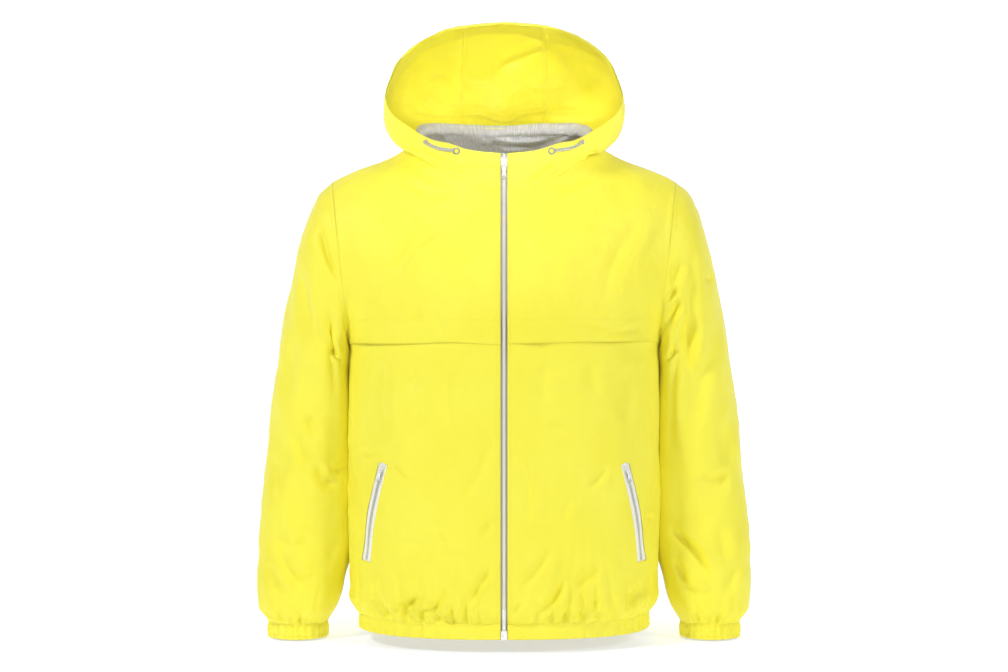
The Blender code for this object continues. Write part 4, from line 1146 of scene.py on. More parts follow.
def body_gathers(points):
    """Pleats above the hem band, and the swell of cloth over them, both plain beside the zip."""
    turn = np.arctan2(points[..., 0], SIDE_Y - points[..., 1])
    plain = smooth_step(0.10, 0.42, np.abs(turn))
    level = points[..., 2]
    blouse = 0.0035 * np.exp(-(((level - HEM_TOP_Z - 0.022) / 0.012) ** 2)) * plain
    broad = gathers(turn, level, HEM_TOP_Z, reach=0.050, pitch=0.021, depth=0.0118, seed=1.3)
    short = gathers(turn, level, HEM_TOP_Z, reach=0.018, pitch=0.0100, depth=0.0064, seed=3.1)
    return (broad + short) * plain - blouse


def front_relief(points, normal):
    inward = crease_depth(points, FRONT_CREASES)
    inward = (inward + body_gathers(points)) * pocket_calm(points)
    return -inward + rumple(points, 3.1) * (0.25 + 0.75 * pocket_calm(points))


def back_relief(points, normal):
    inward = crease_depth(points, BACK_CREASES)
    return -(inward + body_gathers(points)) + rumple(points, 9.4)


def sleeve_relief(points, normal):
    """Creases by the way the cloth faces, cuff gathers, and an inner side that lies close to the body."""
    outward = np.sign(points[..., 0].mean()) * normal[..., 0]
    facing = np.clip(-normal[..., 1] * 1.5 + 0.35, 0.0, 1.0)
    behind = np.clip(normal[..., 1] * 1.5 + 0.35, 0.0, 1.0)
    outer = np.clip(outward * 1.6 - 0.4, 0.0, 1.0)
    inward = crease_depth(points, SLEEVE_CREASES) * facing
    inward += crease_depth(points, SLEEVE_BACK_CREASES) * behind
    inward += crease_depth(points, SLEEVE_SIDE_CREASES, (1, 2)) * outer
    centre = points.mean(axis=0)
    turn = np.arctan2(points[..., 0] - centre[..., 0], centre[..., 1] - points[..., 1])
    level = points[..., 2]
    inward += gathers(turn, level, CUFF_TOP_Z, reach=0.042, pitch=0.080, depth=0.0074, seed=2.2)
    inward += gathers(turn, level, CUFF_TOP_Z, reach=0.020, pitch=0.037, depth=0.0060, seed=4.7)
    puff = 0.0038 * np.exp(-(((level - CUFF_TOP_Z - 0.016) / 0.010) ** 2))
    beside = smooth_step(0.35, 0.75, -outward) * smooth_step(-0.10, -0.24, level)
    loose = 1.0 - beside
    beside *= smooth_step(-0.56, -0.50, level)
    inward *= 1.0 - 0.6 * smooth_step(0.72, 0.95, outward)
    close = 0.0032 + 0.0040 * np.exp(-(((level - UNDERARM_Z + 0.006) / 0.022) ** 2))
    uneven = rumple(points, 5.7) * (0.2 + 0.8 * loose)
    return (-inward + puff) * (0.15 + 0.85 * loose) + uneven + close * beside


def hood_relief(points, normal):
    """The hood's back hangs in folds, inside and outside alike, and its crown droops a little."""
    behind = smooth_step(-0.02, 0.03, points[..., 1])
    ahead = 1.0 - smooth_step(-0.05, -0.02, points[..., 1])
    outward = crease_depth(points, HOOD_INSIDE_CREASES) * behind
    outward -= 0.6 * crease_depth(points, HOOD_OUTSIDE_CREASES) * behind
    outward -= 1.35 * crease_depth(points, HOOD_FRONT_CREASES) * ahead
    droop = CROWN_DROOP * smooth_step(0.165, 0.215, points[..., 2])
    return 0.65 * outward - droop + 0.8 * rumple(points, 7.9)


NECK_SEAM = 1.985
JERSEY_SOFT_Z = 0.074
LINING_TOP = 2.05
LINING_ROWS = stops(1.59, LINING_TOP, 52)


def lining_relief(shell_relief):
    """The lining follows the cloth it lies under, the hood's where it runs up into the hood."""

    def relief(points, normal):
        lower = crease_depth(points, LINING_CREASES) * smooth_step(0.0, 0.04, points[..., 1])
        folds = shell_relief(points, normal)
        if points.shape[1] == len(LINING_ROWS):
            on_hood = smooth_step(1.975, 1.99, np.array(LINING_ROWS))[None, :]
            folds = folds * (1.0 - on_hood) + hood_relief(points, normal) * on_hood
        return folds - np.maximum(lower, 0.0) - 0.0006

    return relief


def flap_wave(across, height, place, width, rise):
    """One wave of the vent flap's free edge, dying away up to where the flap is sewn down."""
    loose = 1.0 - ease(FLAP_EDGE, FRONT_END - 1.0, height - 1.0)
    return loose * rise * math.exp(-(((across - place) / width) ** 2))


def flap_lift(side):
    """How far the vent flap's free edge stands off the front."""
    return lambda across, height: sum(flap_wave(across, height, *wave) for wave in FLAP_WAVES[side])


def flap_surface(side):
    """The front surface, with the flap's free edge a little uneven."""
    wave = FLAP_RISE[side]
    return lambda across, height: front_surface(across, height + flap_wave(across, height, *wave))


def front_tuck(across, height):
    """The front drops back under the flap, later at the side."""
    late = ease(0.80, 0.95, across)
    return -(SHELL_THICK + 0.0003) * ease(0.950 + 0.055 * late, 1.0 + 0.045 * late, height)


# Body, sleeves, cuffs and hem band


def hem_surface(turn, height):
    folded = turn if turn <= 180.0 else 360.0 - turn
    point = body_section(folded, HEM_TOP_Z)
    plain = ease(HEM_PLAIN, HEM_PLAIN + 14.0, folded)
    angle = math.radians(turn)
    phase = HEM_GATHERS * angle + 0.9 * math.sin(5.0 * angle) + 0.7 * math.sin(11.0 * angle + 1.0)
    wave = math.cos(phase) * (0.75 + 0.35 * math.sin(9.0 * angle + 0.5))
    wave += 0.3 * math.cos(2.3 * phase + height)
    pinch = 0.55 + 0.45 * math.cos(2.0 * math.pi * (height - 0.5) * 1.5) ** 2
    calm = 1.0 - 0.8 * ease(0.80, 1.0, height)
    tuck = BAND_TUCK * ease(0.98, 1.06, height)
    point = point + flat_out(point) * ((wave * pinch - 1.0) * HEM_GATHER_DEPTH * plain * calm - tuck)
    point.z = HEM_BOTTOM_Z + (HEM_TOP_Z - HEM_BOTTOM_Z) * height
    if turn > 180.0:
        point.x = -point.x
    return point


def cuff_surface(turn, height):
    angle = math.radians(turn)
    phase = CUFF_GATHERS * angle + 0.5 * math.sin(3.0 * angle + 0.7)
    rib = math.cos(phase) * (0.85 + 0.25 * math.sin(5.0 * angle))
    calm = 1.0 - 0.6 * ease(0.80, 1.0, height)
    tuck = BAND_TUCK * ease(0.98, 1.06, height)
    wave = 1.0 + (CUFF_GATHER_DEPTH * calm * (rib - 0.2) - tuck) / CUFF_HALF_WIDTH
    swell = 1.0 - 0.016 * abs(2.0 * height - 1.0) ** 3
    across = CUFF_HALF_WIDTH * wave * swell * math.cos(angle)
    depth = CUFF_HALF_DEPTH * wave * swell * math.sin(angle)
    rise = CUFF_BOTTOM_Z + (CUFF_TOP_Z - CUFF_BOTTOM_Z) * height
    return CUFF_CENTRE + Vector((across, -depth, rise))


SIDE_END = 0.9985
ACROSS = stops(0.0, SIDE_END, 118, 0.006)
BAND_ROWS = stops(0.0, 1.16, 15)
TOP_END = 1.9995
HOOD_END = 0.9985
for side, label in SIDES:
    lay_cloth(
        f"front_panel_{label}", f"front_{label}", other_side(front_surface, side), ACROSS,
        stops(0.0, FRONT_END, 118, 0.004), "hung", relief=front_relief, outward=side, offset=front_tuck,
        seams=("u0", "u1", "v1"), rows=(("u0", ZIP_EDGE_ROW, 0.15), ("v0", 0.0012, 0.6)),
    )
    lay_cloth(
        f"chest_flap_{label}", f"yoke_{label}", other_side(flap_surface(side), side), ACROSS,
        stops(1.0 + FLAP_EDGE, TOP_END, 86, 0.005), "hung", relief=front_relief, outward=side,
        offset=flap_lift(side), seams=("u0", "u1"), joins=("v1",),
        rows=(("v0", 0.0325, 0.9), ("u0", ZIP_EDGE_ROW, 0.15), ("v1", TOP_ROW, 0.2)),
    )
    lay_cloth(
        f"arm_{label}", f"sleeve_{label}", other_side(sleeve, side), stops(0.0, 360.0, 180),
        stops(0.001, 1.0, 148, 0.003), "hung", relief=sleeve_relief, outward=side, closed=True,
        seams=("v0",), rows=(("v0", ARMHOLE_ROW, 0.6), ("v1", 0.0012, 0.8)),
    )
    lay_cloth(
        f"elastic_cuff_{label}", f"cuff_{label}", other_side(cuff_surface, side),
        stops(0.0, 360.0, 192), BAND_ROWS, "gathered", cut=CUFF_CUT, outward=-side,
        closed=True, thick=0.0014, rows=(("v0", CUFF_ROWS[0], 0.8), ("v1", CUFF_ROWS[1], 0.8)),
    )
    lay_cloth(
        f"hood_panel_{label}", f"hood_{label}", other_side(hood, side),
        stops(0.0, HOOD_SEAM_SHARE, 96, 0.004), stops(HOOD_END, 0.0, 76, 0.004)[::-1], "hung",
        relief=hood_relief, outward=side, fade=False, seams=("u1",), joins=("v0",),
        rows=(("v1", HOOD_HEM_ROW, 0.25), ("u1", HOOD_SEAM_ROW, 0.4), ("v0", HOOD_NECK_ROW, 0.2)),
    )
lay_cloth(
    "back_panel", "back", back_surface, stops(-SIDE_END, SIDE_END, 186, 0.006),
    stops(0.0, TOP_END, 170, 0.004), "hung", relief=back_relief, outward=-1.0, seams=("u0", "u1"),
    joins=("v1",), rows=(("v1", TOP_ROW, 0.5), ("v0", 0.0012, 0.6)),
)
lay_cloth(
    "elastic_hem", "hem_band", hem_surface, stops(0.0, 360.0, 620), BAND_ROWS, "gathered",
    cut=HEM_CUT, outward=1.0, thick=0.0012, rows=(("v1", HEM_ROW, 0.5),),
)
CENTRE_EDGE = 1.0 - HOOD_SEAM_SHARE
lay_cloth(
    "hood_crown", "hood_centre", hood_middle, stops(-CENTRE_EDGE, CENTRE_EDGE, 34, 0.004),
    stops(HOOD_END, 0.0, 90, 0.004)[::-1], "hung", relief=hood_relief, outward=-1.0, fade=False,
    seams=("u0", "u1"), joins=("v0",),
    rows=(
        ("v1", HOOD_HEM_ROW, 0.4), ("u0", HOOD_SEAM_ROW, 0.4), ("u1", HOOD_SEAM_ROW, 0.4),
        ("v0", HOOD_NECK_ROW, 0.5),
    ),
)


def brim_offset(share, part):
    """The cord's channel lies inside the hood, puffed out along its middle."""
    puff = math.sin(math.pi * min(1.0, part)) ** 0.7
    return -SHELL_THICK - 0.0007 - 0.0017 * puff


def brim_surface(share, part):
    return hood(share, hem_reach(round(share, 6)) * part)


for side, label in SIDES:
    lay_cloth(
        f"hood_brim_{label}", f"hood_hem_{label}", other_side(brim_surface, side),
        stops(BRIM_START, 1.0, 130), stops(0.0, 1.0, 8)[::-1], "folded", outward=side, offset=brim_offset,
        relief=hood_relief,
    )
    lay_cloth(
        f"jersey_front_{label}", f"lining_front_{label}", other_side(front_surface, side),
        stops(0.07, 0.985, 60), stops(1.70, NECK_SEAM, 26), "hung", relief=lining_relief(front_relief),
        outward=side, offset=lambda across, height: -WALL - LINING_GAP, finish="lining", seams=("v1",),
    )


LINING_EDGE = {
    "across": (-0.42, -0.32, -0.22, -0.12, -0.03, 0.03, 0.08, 0.25, 0.42),
    "rise": (0.0060, 0.0105, 0.0088, 0.0056, 0.0034, 0.0046, 0.0092, 0.0098, 0.0070),
    "lift": (0.0030, 0.0062, 0.0040, 0.0014, -0.0008, 0.0004, 0.0034, 0.0040, 0.0020),
}


def jersey_back_offset(across, height):
    """The lining stands off the hood's lower edge round the neck seam."""
    fold = ease(1.966, 1.984, height) * (1.0 - ease(1.992, 2.006, height))
    inside = 1.0 - ease(NECK_SHARE - 0.06, NECK_SHARE, abs(across))
    return -WALL - LINING_GAP - inside * (0.0026 * ease(1.960, 1.982, height) + 0.0032 * fold)


def jersey_back_surface(across, height):
    """The lining runs on past the neck seam, up the inside of the hood, to an uneven edge."""
    if height <= NECK_SEAM:
        return back_surface(across, height)
    if abs(across) > NECK_SHARE:
        return back_surface(across, NECK_SEAM + (height - NECK_SEAM) * 0.2)
    on_neck = max(0.3, 1.0 - (abs(across) / NECK_SHARE) ** 6)
    rise = float(np.interp(across, LINING_EDGE["across"], LINING_EDGE["rise"]))
    share = 1.0 - abs(across) / (2.0 * NECK_SHARE)
    low, high = hood(share, 1.0), hood(share, 0.90)
    climb = (height - NECK_SEAM) / (LINING_TOP - NECK_SEAM)
    point = hood(share, 1.0 - 0.10 * climb * on_neck * rise / (high - low).length)
    point = mirrored(point, math.copysign(1.0, across))
    point.z += climb * float(np.interp(across, LINING_EDGE["across"], LINING_EDGE["lift"]))
    return point


lay_cloth(
    "jersey_back", "lining_back", jersey_back_surface, stops(-0.985, 0.985, 124), LINING_ROWS, "hung",
    relief=lining_relief(back_relief), outward=-1.0, offset=jersey_back_offset, finish="lining",
    seams=("v1",),
)
jersey = bpy.data.objects["jersey_back"].data
bm = bmesh.new()
bm.from_mesh(jersey)
top_rows = [vert for vert in bm.verts if vert.co.z > JERSEY_SOFT_Z and vert.co.y > 0.0]
for _ in range(3):
    bmesh.ops.smooth_vert(bm, verts=top_rows, factor=0.5, use_axis_x=True, use_axis_y=True, use_axis_z=True)
bm.to_mesh(jersey)
bm.free()


# Sewing that shows

for label in ("left", "right"):
    for distance in FLAP_ROWS:
        sew_row(f"chest_flap_{label}", "v0", distance)
    sew_row(f"chest_flap_{label}", "u0", ZIP_EDGE_ROW)
    sew_row(f"chest_flap_{label}", "v1", TOP_ROW)
    sew_row(f"front_panel_{label}", "u0", ZIP_EDGE_ROW)
    sew_row(f"arm_{label}", "v0", ARMHOLE_ROW, count=240)
    for edge, distance in zip(("v0", "v1"), CUFF_ROWS):
        sew_row(f"elastic_cuff_{label}", edge, distance, count=380, pitch=0.0026)
    for inward in (False, True):
        sew_row(f"hood_panel_{label}", "u1", HOOD_SEAM_ROW, inward=inward)
    sew_row(f"hood_panel_{label}", "v1", HOOD_HEM_ROW)
    sew_row(f"hood_panel_{label}", "v0", HOOD_NECK_ROW)
for inward in (False, True):
    for edge in ("u0", "u1"):
        sew_row("hood_crown", edge, HOOD_SEAM_ROW, inward=inward)
sew_row("hood_crown", "v1", HOOD_HEM_ROW)
sew_row("hood_crown", "v0", HOOD_NECK_ROW)
sew_row("back_panel", "v1", TOP_ROW, count=300)
sew_row("elastic_hem", "v1", HEM_ROW, count=620)


# Zips


def centre_height(share):
    """The height on the torso of a share of the main zip, which starts on the hem band."""
    if share < ZIP_UNDERARM:
        return (share - ZIP_HEM_SHARE) / ZIP_BODY_SHARE
    return 1.0 + (share - ZIP_UNDERARM) / ZIP_BODY_SHARE


def centre_front(share):
    """A point of the main zip's middle line, from the hem's foot to the hood's rim."""
    if share < ZIP_HEM_SHARE:
        rise = (HEM_TOP_Z - HEM_BOTTOM_Z) * share / ZIP_HEM_SHARE
        return Vector((0.0, body_section(0.0, HEM_TOP_Z).y, HEM_BOTTOM_Z + rise))
    if share < ZIP_NECK:
        point = torso(0.0, centre_height(share), True)
    else:
        point = hood(0.0, 1.0 - (share - ZIP_NECK) / ZIP_HOOD_SHARE)
    return Vector((0.0, point.y, point.z))


def centre_share(z):
    """The share of the main zip at a height in metres."""
    low, high = 0.0, 1.0
    for _ in range(24):
        middle = (low + high) / 2.0
        if centre_front(middle).z < z:
            low = middle
        else:
            high = middle
    return low


def tape_depth(across, share):
    """The main zip's tape lies behind the fronts, deeper at the hem's seam and in its outer part."""
    height = max(0.0, (share - ZIP_HEM_SHARE) / ZIP_BODY_SHARE)
    rejoin = 1.0 - ease(1.19, 1.27, height)
    at_hem = 0.0019 * math.exp(-(((share - ZIP_HEM_SHARE) / 0.009) ** 2))
    outer = 0.0014 * ease(0.0052, 0.0080, abs(across))
    return TAPE_SINK + front_tuck(0.0, height) * rejoin - at_hem - outer


def pocket_line(share):
    line = POCKET_END.lerp(POCKET_TOP, share)
    line.x += POCKET_BOW * math.sin(math.pi * share)
    return line


def front_at(x, z):
    """The front's surface at a place seen from the front, below the underarm."""
    share = x / row("body", z)["half_width"]
    depth = (1.0 - share**ROUNDNESS) ** (1.0 / ROUNDNESS)
    across = math.degrees(math.atan2(share, depth)) / 90.0
    return front_surface(across, (z - HEM_TOP_Z) / (UNDERARM_Z - HEM_TOP_Z))


def pocket_band(across, share):
    """The front's surface beside and along a pocket zip."""
    side = (POCKET_TOP - POCKET_END).normalized()
    line = pocket_line(share) + Vector((side.z, 0.0, -side.x)) * across
    return front_at(line.x, line.z)


def round_edges(bm, edges, width, segments, clamp=False):
    bmesh.ops.bevel(
        bm,
        geom=edges,
        offset=width,
        offset_type="OFFSET",
        segments=segments,
        affect="EDGES",
        profile=0.5,
        material=-1,
        clamp_overlap=clamp,
    )


def zip_tooth(mould, half_width, tall, deep):
    """One tooth: a rounded block with a head that narrows towards the far side."""
    made = bmesh.ops.create_cube(mould, size=1.0)
    for vert in made["verts"]:
        narrow = 0.62 if vert.co.x > 0.0 else 1.0
        vert.co = Vector((vert.co.x * half_width * 1.3, vert.co.y * deep, vert.co.z * tall * narrow))
    round_edges(mould, mould.edges[:], 0.00018, 1)
    mould.verts.index_update()


def lay_teeth(name, node, path, outward, half_width, pitch, finish, deep=TOOTH_DEEP):
    """Teeth from both tapes that close into each other all along a path."""
    mould = bmesh.new()
    zip_tooth(mould, half_width, pitch * 0.62, deep)
    bm = bmesh.new()
    gone, target, hand = 0.0, pitch / 2.0, 1.0
    for at in range(len(path) - 1):
        step = (path[at + 1] - path[at]).length
        while target <= gone + step:
            share = (target - gone) / step
            point = path[at].lerp(path[at + 1], share)
            up = (path[at + 1] - path[at]).normalized()
            out = outward[at].lerp(outward[at + 1], share).normalized()
            across = up.cross(out).normalized()

            def tooth(place):
                return point + across * hand * (place.x - half_width * 0.35) + out * place.y + up * place.z

            repeat_mould(bm, mould, tooth)
            target += pitch / 2.0
            hand = -hand
        gone += step
    mould.free()
    bmesh.ops.recalc_face_normals(bm, faces=bm.faces)
    piece = add_mesh(name, bm, finish)
    piece.data.set_sharp_from_angle(angle=math.radians(40))
    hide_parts(node)


BOX_TOP = centre_share(HEM_BOTTOM_Z + ZIP_BOX_TALL)
for side, label in SIDES:
    low, high = sorted((side * ZIP_TAPE_START, side * ZIP_TAPE_HALF))
    lay_cloth(
        f"zip_ribbon_{label}", f"zip_tape_{label}",
        lambda across, share: centre_front(share) + Vector((across, 0.0, 0.0)), stops(low, high, 6),
        stops(0.0, 1.0, 150), None, outward=1.0, thick=TAPE_THICK, offset=tape_depth, finish="zip_tape",
    )
    band = other_side(pocket_band, side)
    lay_cloth(
        f"pocket_ribbon_{label}", f"pocket_tape_{label}", band,
        stops(-POCKET_TAPE_HALF, POCKET_TAPE_HALF, 28), stops(-0.05, 1.05, 44), "hung", outward=side,
        thick=TAPE_THICK,
        offset=lambda across, share: TAPE_SINK + 0.0006 * ease(0.0064, 0.0050, abs(across)),
        relief=front_relief, finish="pocket_tape",
    )
    path, face_out = [], []
    for share in np.linspace(0.006, 0.994, 60):
        over = band(0.002, share) - band(-0.002, share)
        up = band(0.0, share + 0.005) - band(0.0, share - 0.005)
        face_out.append(over.cross(up).normalized() * side)
        path.append(band(0.0, share) - face_out[-1] * 0.0003)
    chain, solid = f"pocket_chain_{label}", f"pocket_teeth_{label}"
    lay_teeth(chain, solid, path, face_out, POCKET_TEETH_HALF, POCKET_PITCH, "pocket_teeth")
shares = np.linspace(BOX_TOP + 0.001, 1.0, 300)
path = [centre_front(share) + Vector((0.0, 0.0011, 0.0)) for share in shares]
forward = [Vector((0.0, -1.0, 0.0))] * len(path)
lay_teeth("zip_chain", "zip_teeth", path, forward, ZIP_TEETH_HALF, ZIP_PITCH, "main_teeth", deep=0.0019)


# Pocket slits, each cut through the front

for side, label in SIDES:
    panel = bpy.data.objects[f"front_panel_{label}"]
    band = other_side(pocket_band, side)
    bm = bmesh.new()
    bmesh.ops.create_grid(bm, x_segments=1, y_segments=24, size=0.5)
    for vert in bm.verts:
        across = math.copysign(POCKET_SLIT_HALF, vert.co.x)
        vert.co = band(across, vert.co.y + 0.5) + Vector((0.0, -CUT_REACH, 0.0))
    made = bmesh.ops.extrude_face_region(bm, geom=bm.faces[:])
    for item in made["geom"]:
        if isinstance(item, bmesh.types.BMVert):
            item.co.y += 2.0 * CUT_REACH
    bmesh.ops.recalc_face_normals(bm, faces=bm.faces)
    if bm.calc_volume(signed=True) < 0.0:
        bmesh.ops.reverse_faces(bm, faces=bm.faces)
    cutter = add_object("slit", bpy.data.meshes.new("slit"))
    bm.to_mesh(cutter.data)
    bm.free()
    cut = panel.modifiers.new("slit", "BOOLEAN")
    cut.operation = "DIFFERENCE"
    cut.object = cutter
    bpy.context.view_layer.update()
    open_panel = panel.evaluated_get(bpy.context.evaluated_depsgraph_get())
    panel.data = bpy.data.meshes.new_from_object(open_panel)
    panel.modifiers.clear()
    bpy.data.objects.remove(cutter, do_unlink=True)


# Metal pieces: the solids' own shapes with their edges rounded


def soften(name, node, width, body="jacket", finish="metal"):
    bm = bmesh.new()
    bm.from_mesh(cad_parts[node].data)
    bmesh.ops.remove_doubles(bm, verts=bm.verts, dist=2e-6)
    bmesh.ops.dissolve_limit(bm, angle_limit=math.radians(4), verts=bm.verts, edges=bm.edges)
    closed = [edge for edge in bm.edges if len(edge.link_faces) == 2]
    sharp = [edge for edge in closed if edge.calc_face_angle() > math.radians(28)]
    round_edges(bm, sharp, width, 3, clamp=True)
    piece = add_mesh(name, bm, finish, body)
    piece.data.set_sharp_from_angle(angle=math.radians(50))
    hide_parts(node)


def paint_hole_shade(name, node, body, radius, turns=28, parts=8):
    """A dark ring painted round the hole at the free end of a pull tab: painted shade for the hole's edge,
    not a part of its own.
    """
    corners = [vert.co.copy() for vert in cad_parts[node].data.vertices]
    low = min(corners, key=lambda corner: corner.z)
    end = [corner for corner in corners if corner.z < low.z + 2.4 * radius]
    centre = sum(end, Vector()) / len(end)
    centre.y = min(corner.y for corner in end) - 0.00005
    bm = bmesh.new()
    rings = []
    for turn in range(turns):
        angle = 2.0 * math.pi * turn / turns
        out = Vector((math.cos(angle), 0.0, math.sin(angle)))
        ring = []
        for part in range(parts):
            turned = 2.0 * math.pi * part / parts
            deep = Vector((0.0, 0.00035 * math.sin(turned), 0.0))
            ring.append(bm.verts.new(centre + out * radius * (1.0 + 0.36 * math.cos(turned)) + deep))
        rings.append(ring)
    for ring, after in zip(rings, rings[1:] + rings[:1]):
        for part in range(parts):
            onward = (part + 1) % parts
            bm.faces.new((ring[part], ring[onward], after[onward], after[part]))
    bmesh.ops.recalc_face_normals(bm, faces=bm.faces)
    add_mesh(name, bm, "eyelet", body)


soften("zip_runner", "zip_slider", 0.00035)
soften("zip_puller", "zip_pull", 0.00028, "zip_pull_tab")
soften("zip_stop_box", "zip_box", 0.0004)
for label in ("left", "right"):
    soften(f"pocket_runner_{label}", f"pocket_{label}_slider", 0.00028)
    soften(f"pocket_puller_{label}", f"pocket_{label}_pull", 0.00022, f"pocket_{label}_pull_tab")
    soften(f"cord_eyelet_{label}", f"eyelet_{label}", 0.00025, finish="eyelet")
# Painted shade: dark rings laid round the pull holes darken their edges where shade would fall
paint_hole_shade("zip_puller_hole_shade", "zip_pull", "zip_pull_tab", 0.0020)
for label in ("left", "right"):
    paint_hole_shade(f"pocket_puller_hole_shade_{label}", f"pocket_{label}_pull", f"pocket_{label}_pull_tab", 0.0010)


# Draw cord


def hood_frame(share, down, side):
    point = hood(share, down)
    round_hood = hood(share + 0.01, down) - hood(share - 0.01, down)
    upward = hood(share, down - 0.02) - hood(share, down + 0.02)
    return mirrored(point, side), mirrored(round_hood.cross(upward).normalized(), side)


def cord_route(side):
    """The cord's middle line from its eyelet down the hood, resting on the cloth."""
    points = []
    for at in range(CORD_POINTS):
        along = at / (CORD_POINTS - 1)
        place = along * (len(CORD_ROUTE) - 1)
        first = min(len(CORD_ROUTE) - 2, int(place))
        ends = zip(CORD_ROUTE[first], CORD_ROUTE[first + 1])
        share, down = (start + (end - start) * (place - first) for start, end in ends)
        point, normal = hood_frame(share, down, side)
        points.append(point + normal * (CORD_RADIUS + 0.0006 + 0.0016 * (1.0 - ease(0.0, 0.35, along))))
    return points


def soft_curve(points, steps):
    """A smooth curve through points, with some steps between each two."""
    curve = []
    for at in range(len(points) - 1):
        before, after = points[max(0, at - 1)], points[min(len(points) - 1, at + 2)]
        leave, arrive = (points[at + 1] - before) * 0.5, (after - points[at]) * 0.5
        for step in range(steps):
            curve.append(hermite(points[at], leave, points[at + 1], arrive, step / steps))
    return curve + [points[-1]]


def braided_tube(name, path, radius, closed=False, sides=20):
    """A tube of crossing strands along a path, with its ends closed."""
    count = len(path)
    rows = count if closed else count - 1
    normal = (path[1] - path[0]).orthogonal().normalized()
    frames, gone = [], 0.0
    for at in range(rows + 1):
        here, onward = path[at % count], path[(at + 1) % count]
        if not closed and at == rows:
            onward = here * 2.0 - path[at - 1]
        along = (onward - here).normalized()
        normal = (normal - along * normal.dot(along)).normalized()
        frames.append((here, normal.copy(), along.cross(normal), gone))
        gone += (onward - here).length

    def place(column, line):
        here, first, second, far = frames[line]
        angle = 2.0 * math.pi * column / sides
        turned, gone_round = 4.0 * angle, far * BRAID_TURNS
        strands = abs(math.sin(turned + gone_round)) * abs(math.sin(turned - gone_round))
        end = 0.72 if not closed and line in (0, rows) else 1.0
        reach = radius * (0.95 + 0.05 * strands) * end
        return here + first * math.cos(angle) * reach + second * math.sin(angle) * reach

    bm = bmesh.new()
    around = 2.0 * math.pi * radius / sides
    place_on_grid(bm, sides, rows, place, lambda column, line: (column * around, frames[line][3]))
    bmesh.ops.remove_doubles(bm, verts=bm.verts, dist=1e-7)
    if not closed:
        bmesh.ops.holes_fill(bm, edges=[edge for edge in bm.edges if edge.is_boundary])
    bmesh.ops.recalc_face_normals(bm, faces=bm.faces)
    return add_mesh(name, bm, "cord")


def knot_path(centre, onward, count=72, size=0.00072, lift=0.0011):
    """The closed line of a trefoil knot, which faces along the cord."""
    cross = onward.orthogonal().normalized()
    third = onward.cross(cross)
    path = []
    for at in range(count):
        turn = 2.0 * math.pi * at / count
        flat_x = math.sin(turn) + 2.0 * math.sin(2.0 * turn)
        flat_y = math.cos(turn) - 2.0 * math.cos(2.0 * turn)
        over = -math.sin(3.0 * turn)
        path.append(centre + (onward * flat_x * size + cross * flat_y * size + third * over * lift))
    return path


for side, label in SIDES:
    route = cord_route(side)
    fine = soft_curve(route, CORD_STEPS)
    cord = braided_tube(f"draw_cord_{label}", fine, CORD_RADIUS)
    low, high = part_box(f"cord_knot_{label}")
    centre = (Vector(low) + Vector(high)) * 0.5
    loop_path = knot_path(centre, (route[-1] - route[-2]).normalized())
    knot = braided_tube(f"cord_stop_{label}", loop_path, KNOT_THICK, closed=True, sides=12)
    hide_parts(f"cord_knot_{label}")
    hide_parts(f"cord_{label}")
    length = sum((after - before).length for before, after in zip(fine[:-1], fine[1:]))
    [tuple(point) for point in fine]

sew_stitches("sewing")


# Studio and camera

STAGE_Z = -0.6365
SWEEP_START_Y = 1.0
SWEEP_RADIUS = 2.0


def make_studio_finish():
    """White paint that glows a little, more towards the back."""
    made = bpy.data.materials.new("studio_white")
    made.use_nodes = True
    tree = made.node_tree
    paint = tree.nodes["Principled BSDF"]
    paint.inputs["Base Color"].default_value = (0.70, 0.72, 0.80, 1.0)
    paint.inputs["Emission Color"].default_value = (0.88, 0.90, 1.0, 1.0)
    paint.inputs["Roughness"].default_value = 1.0
    paint.inputs["Specular IOR Level"].default_value = 0.0
    parted = node(tree, "ShaderNodeSeparateXYZ")
    tree.links.new(mapped(tree, "Object"), parted.inputs["Vector"])
    limits = {"From Min": -1.5, "From Max": 0.60, "To Min": 0.20, "To Max": 0.74}
    glow = node(tree, "ShaderNodeMapRange", **limits)
    tree.links.new(parted.outputs["Y"], glow.inputs["Value"])
    tree.links.new(glow.outputs["Result"], paint.inputs["Emission Strength"])
    return made


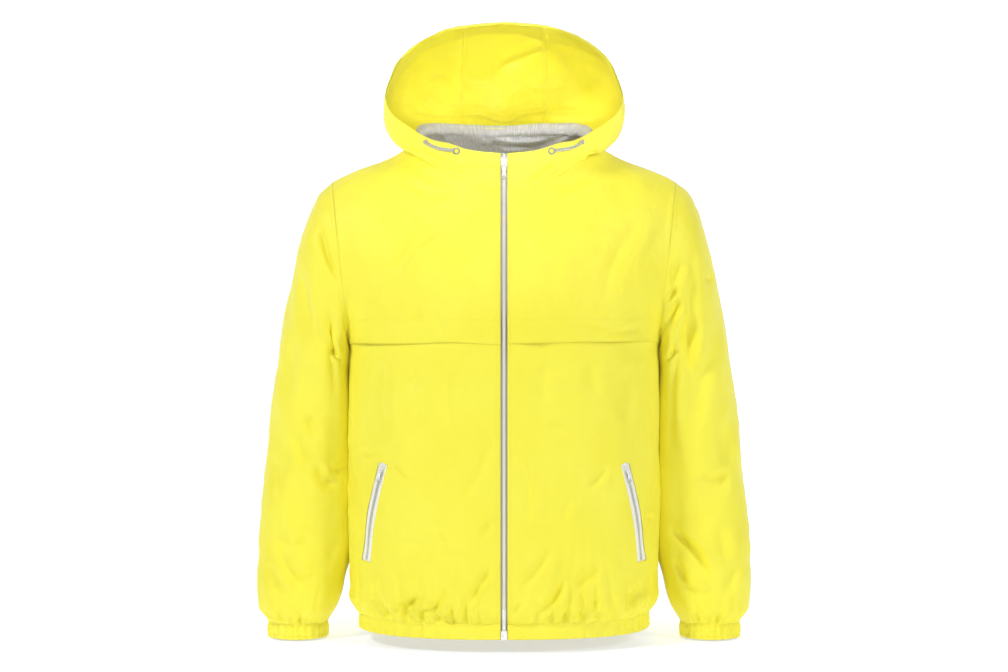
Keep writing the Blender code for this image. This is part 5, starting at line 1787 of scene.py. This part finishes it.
def make_backdrop():
    """A floor that sweeps up into the back wall."""
    bm = bmesh.new()
    bmesh.ops.create_grid(bm, x_segments=1, y_segments=40, size=0.5)
    for vert in bm.verts:
        share = vert.co.y + 0.5
        across = math.copysign(6.0, vert.co.x)
        if share < 0.5:
            vert.co = Vector((across, -5.0 + 12.0 * share, STAGE_Z))
        else:
            bend = (share - 0.5) * 2.0
            angle = bend * math.pi / 2.0
            rise = SWEEP_RADIUS * (1.0 - math.cos(angle)) + 2.0 * bend**4
            vert.co = Vector((across, SWEEP_START_Y + SWEEP_RADIUS * math.sin(angle), STAGE_Z + rise))
    backdrop = add_object("backdrop", new_mesh("backdrop", bm, make_studio_finish()))


def soft_box(name, place, aim, size, watts, spread=180.0):
    light = bpy.data.lights.new(name, "AREA")
    light.spread = math.radians(spread)
    light.shape = "RECTANGLE"
    light.size, light.size_y = size
    light.energy = watts
    thing = add_object(name, light)
    thing.location = place
    thing.rotation_euler = (Vector(aim) - Vector(place)).to_track_quat("-Z", "Y").to_euler()


make_backdrop()
world = bpy.data.worlds.new("studio")
world.use_nodes = True
world.node_tree.nodes["Background"].inputs["Color"].default_value = (1.0, 1.0, 1.0, 1.0)
world.node_tree.nodes["Background"].inputs["Strength"].default_value = 0.18
bpy.context.scene.world = world

soft_box("key_left", (-1.7, -1.45, 1.30), aim=(0.0, 0.0, -0.30), size=(0.4, 0.5), watts=32.8)
soft_box("front", (0.3, -3.6, 0.1), aim=(0.0, 0.0, -0.1), size=(1.4, 1.2), watts=11.0)
soft_box("fill_right", (2.0, -1.65, 0.95), aim=(0.0, 0.0, -0.25), size=(0.6, 0.8), watts=25.0)
soft_box("top", (0.2, 0.3, 2.2), aim=(0.0, 0.0, 0.0), size=(1.6, 1.2), watts=8.0)
soft_box("into_hood", (0.0, -3.3, -0.38), aim=(0.0, 0.0, 0.165), size=(0.30, 0.25), watts=0.30, spread=9.0)

camera = add_object("camera", bpy.data.cameras.new("camera"))
camera.data.lens = 69.57
camera.data.sensor_width = 36.0
camera.data.shift_y = -0.0605
camera.location = (0.0, -2.725, -0.130)
camera.rotation_euler = (math.pi / 2.0, 0.0, 0.0)
bpy.context.scene.camera = camera
bpy.context.scene.view_settings.view_transform = "Standard"
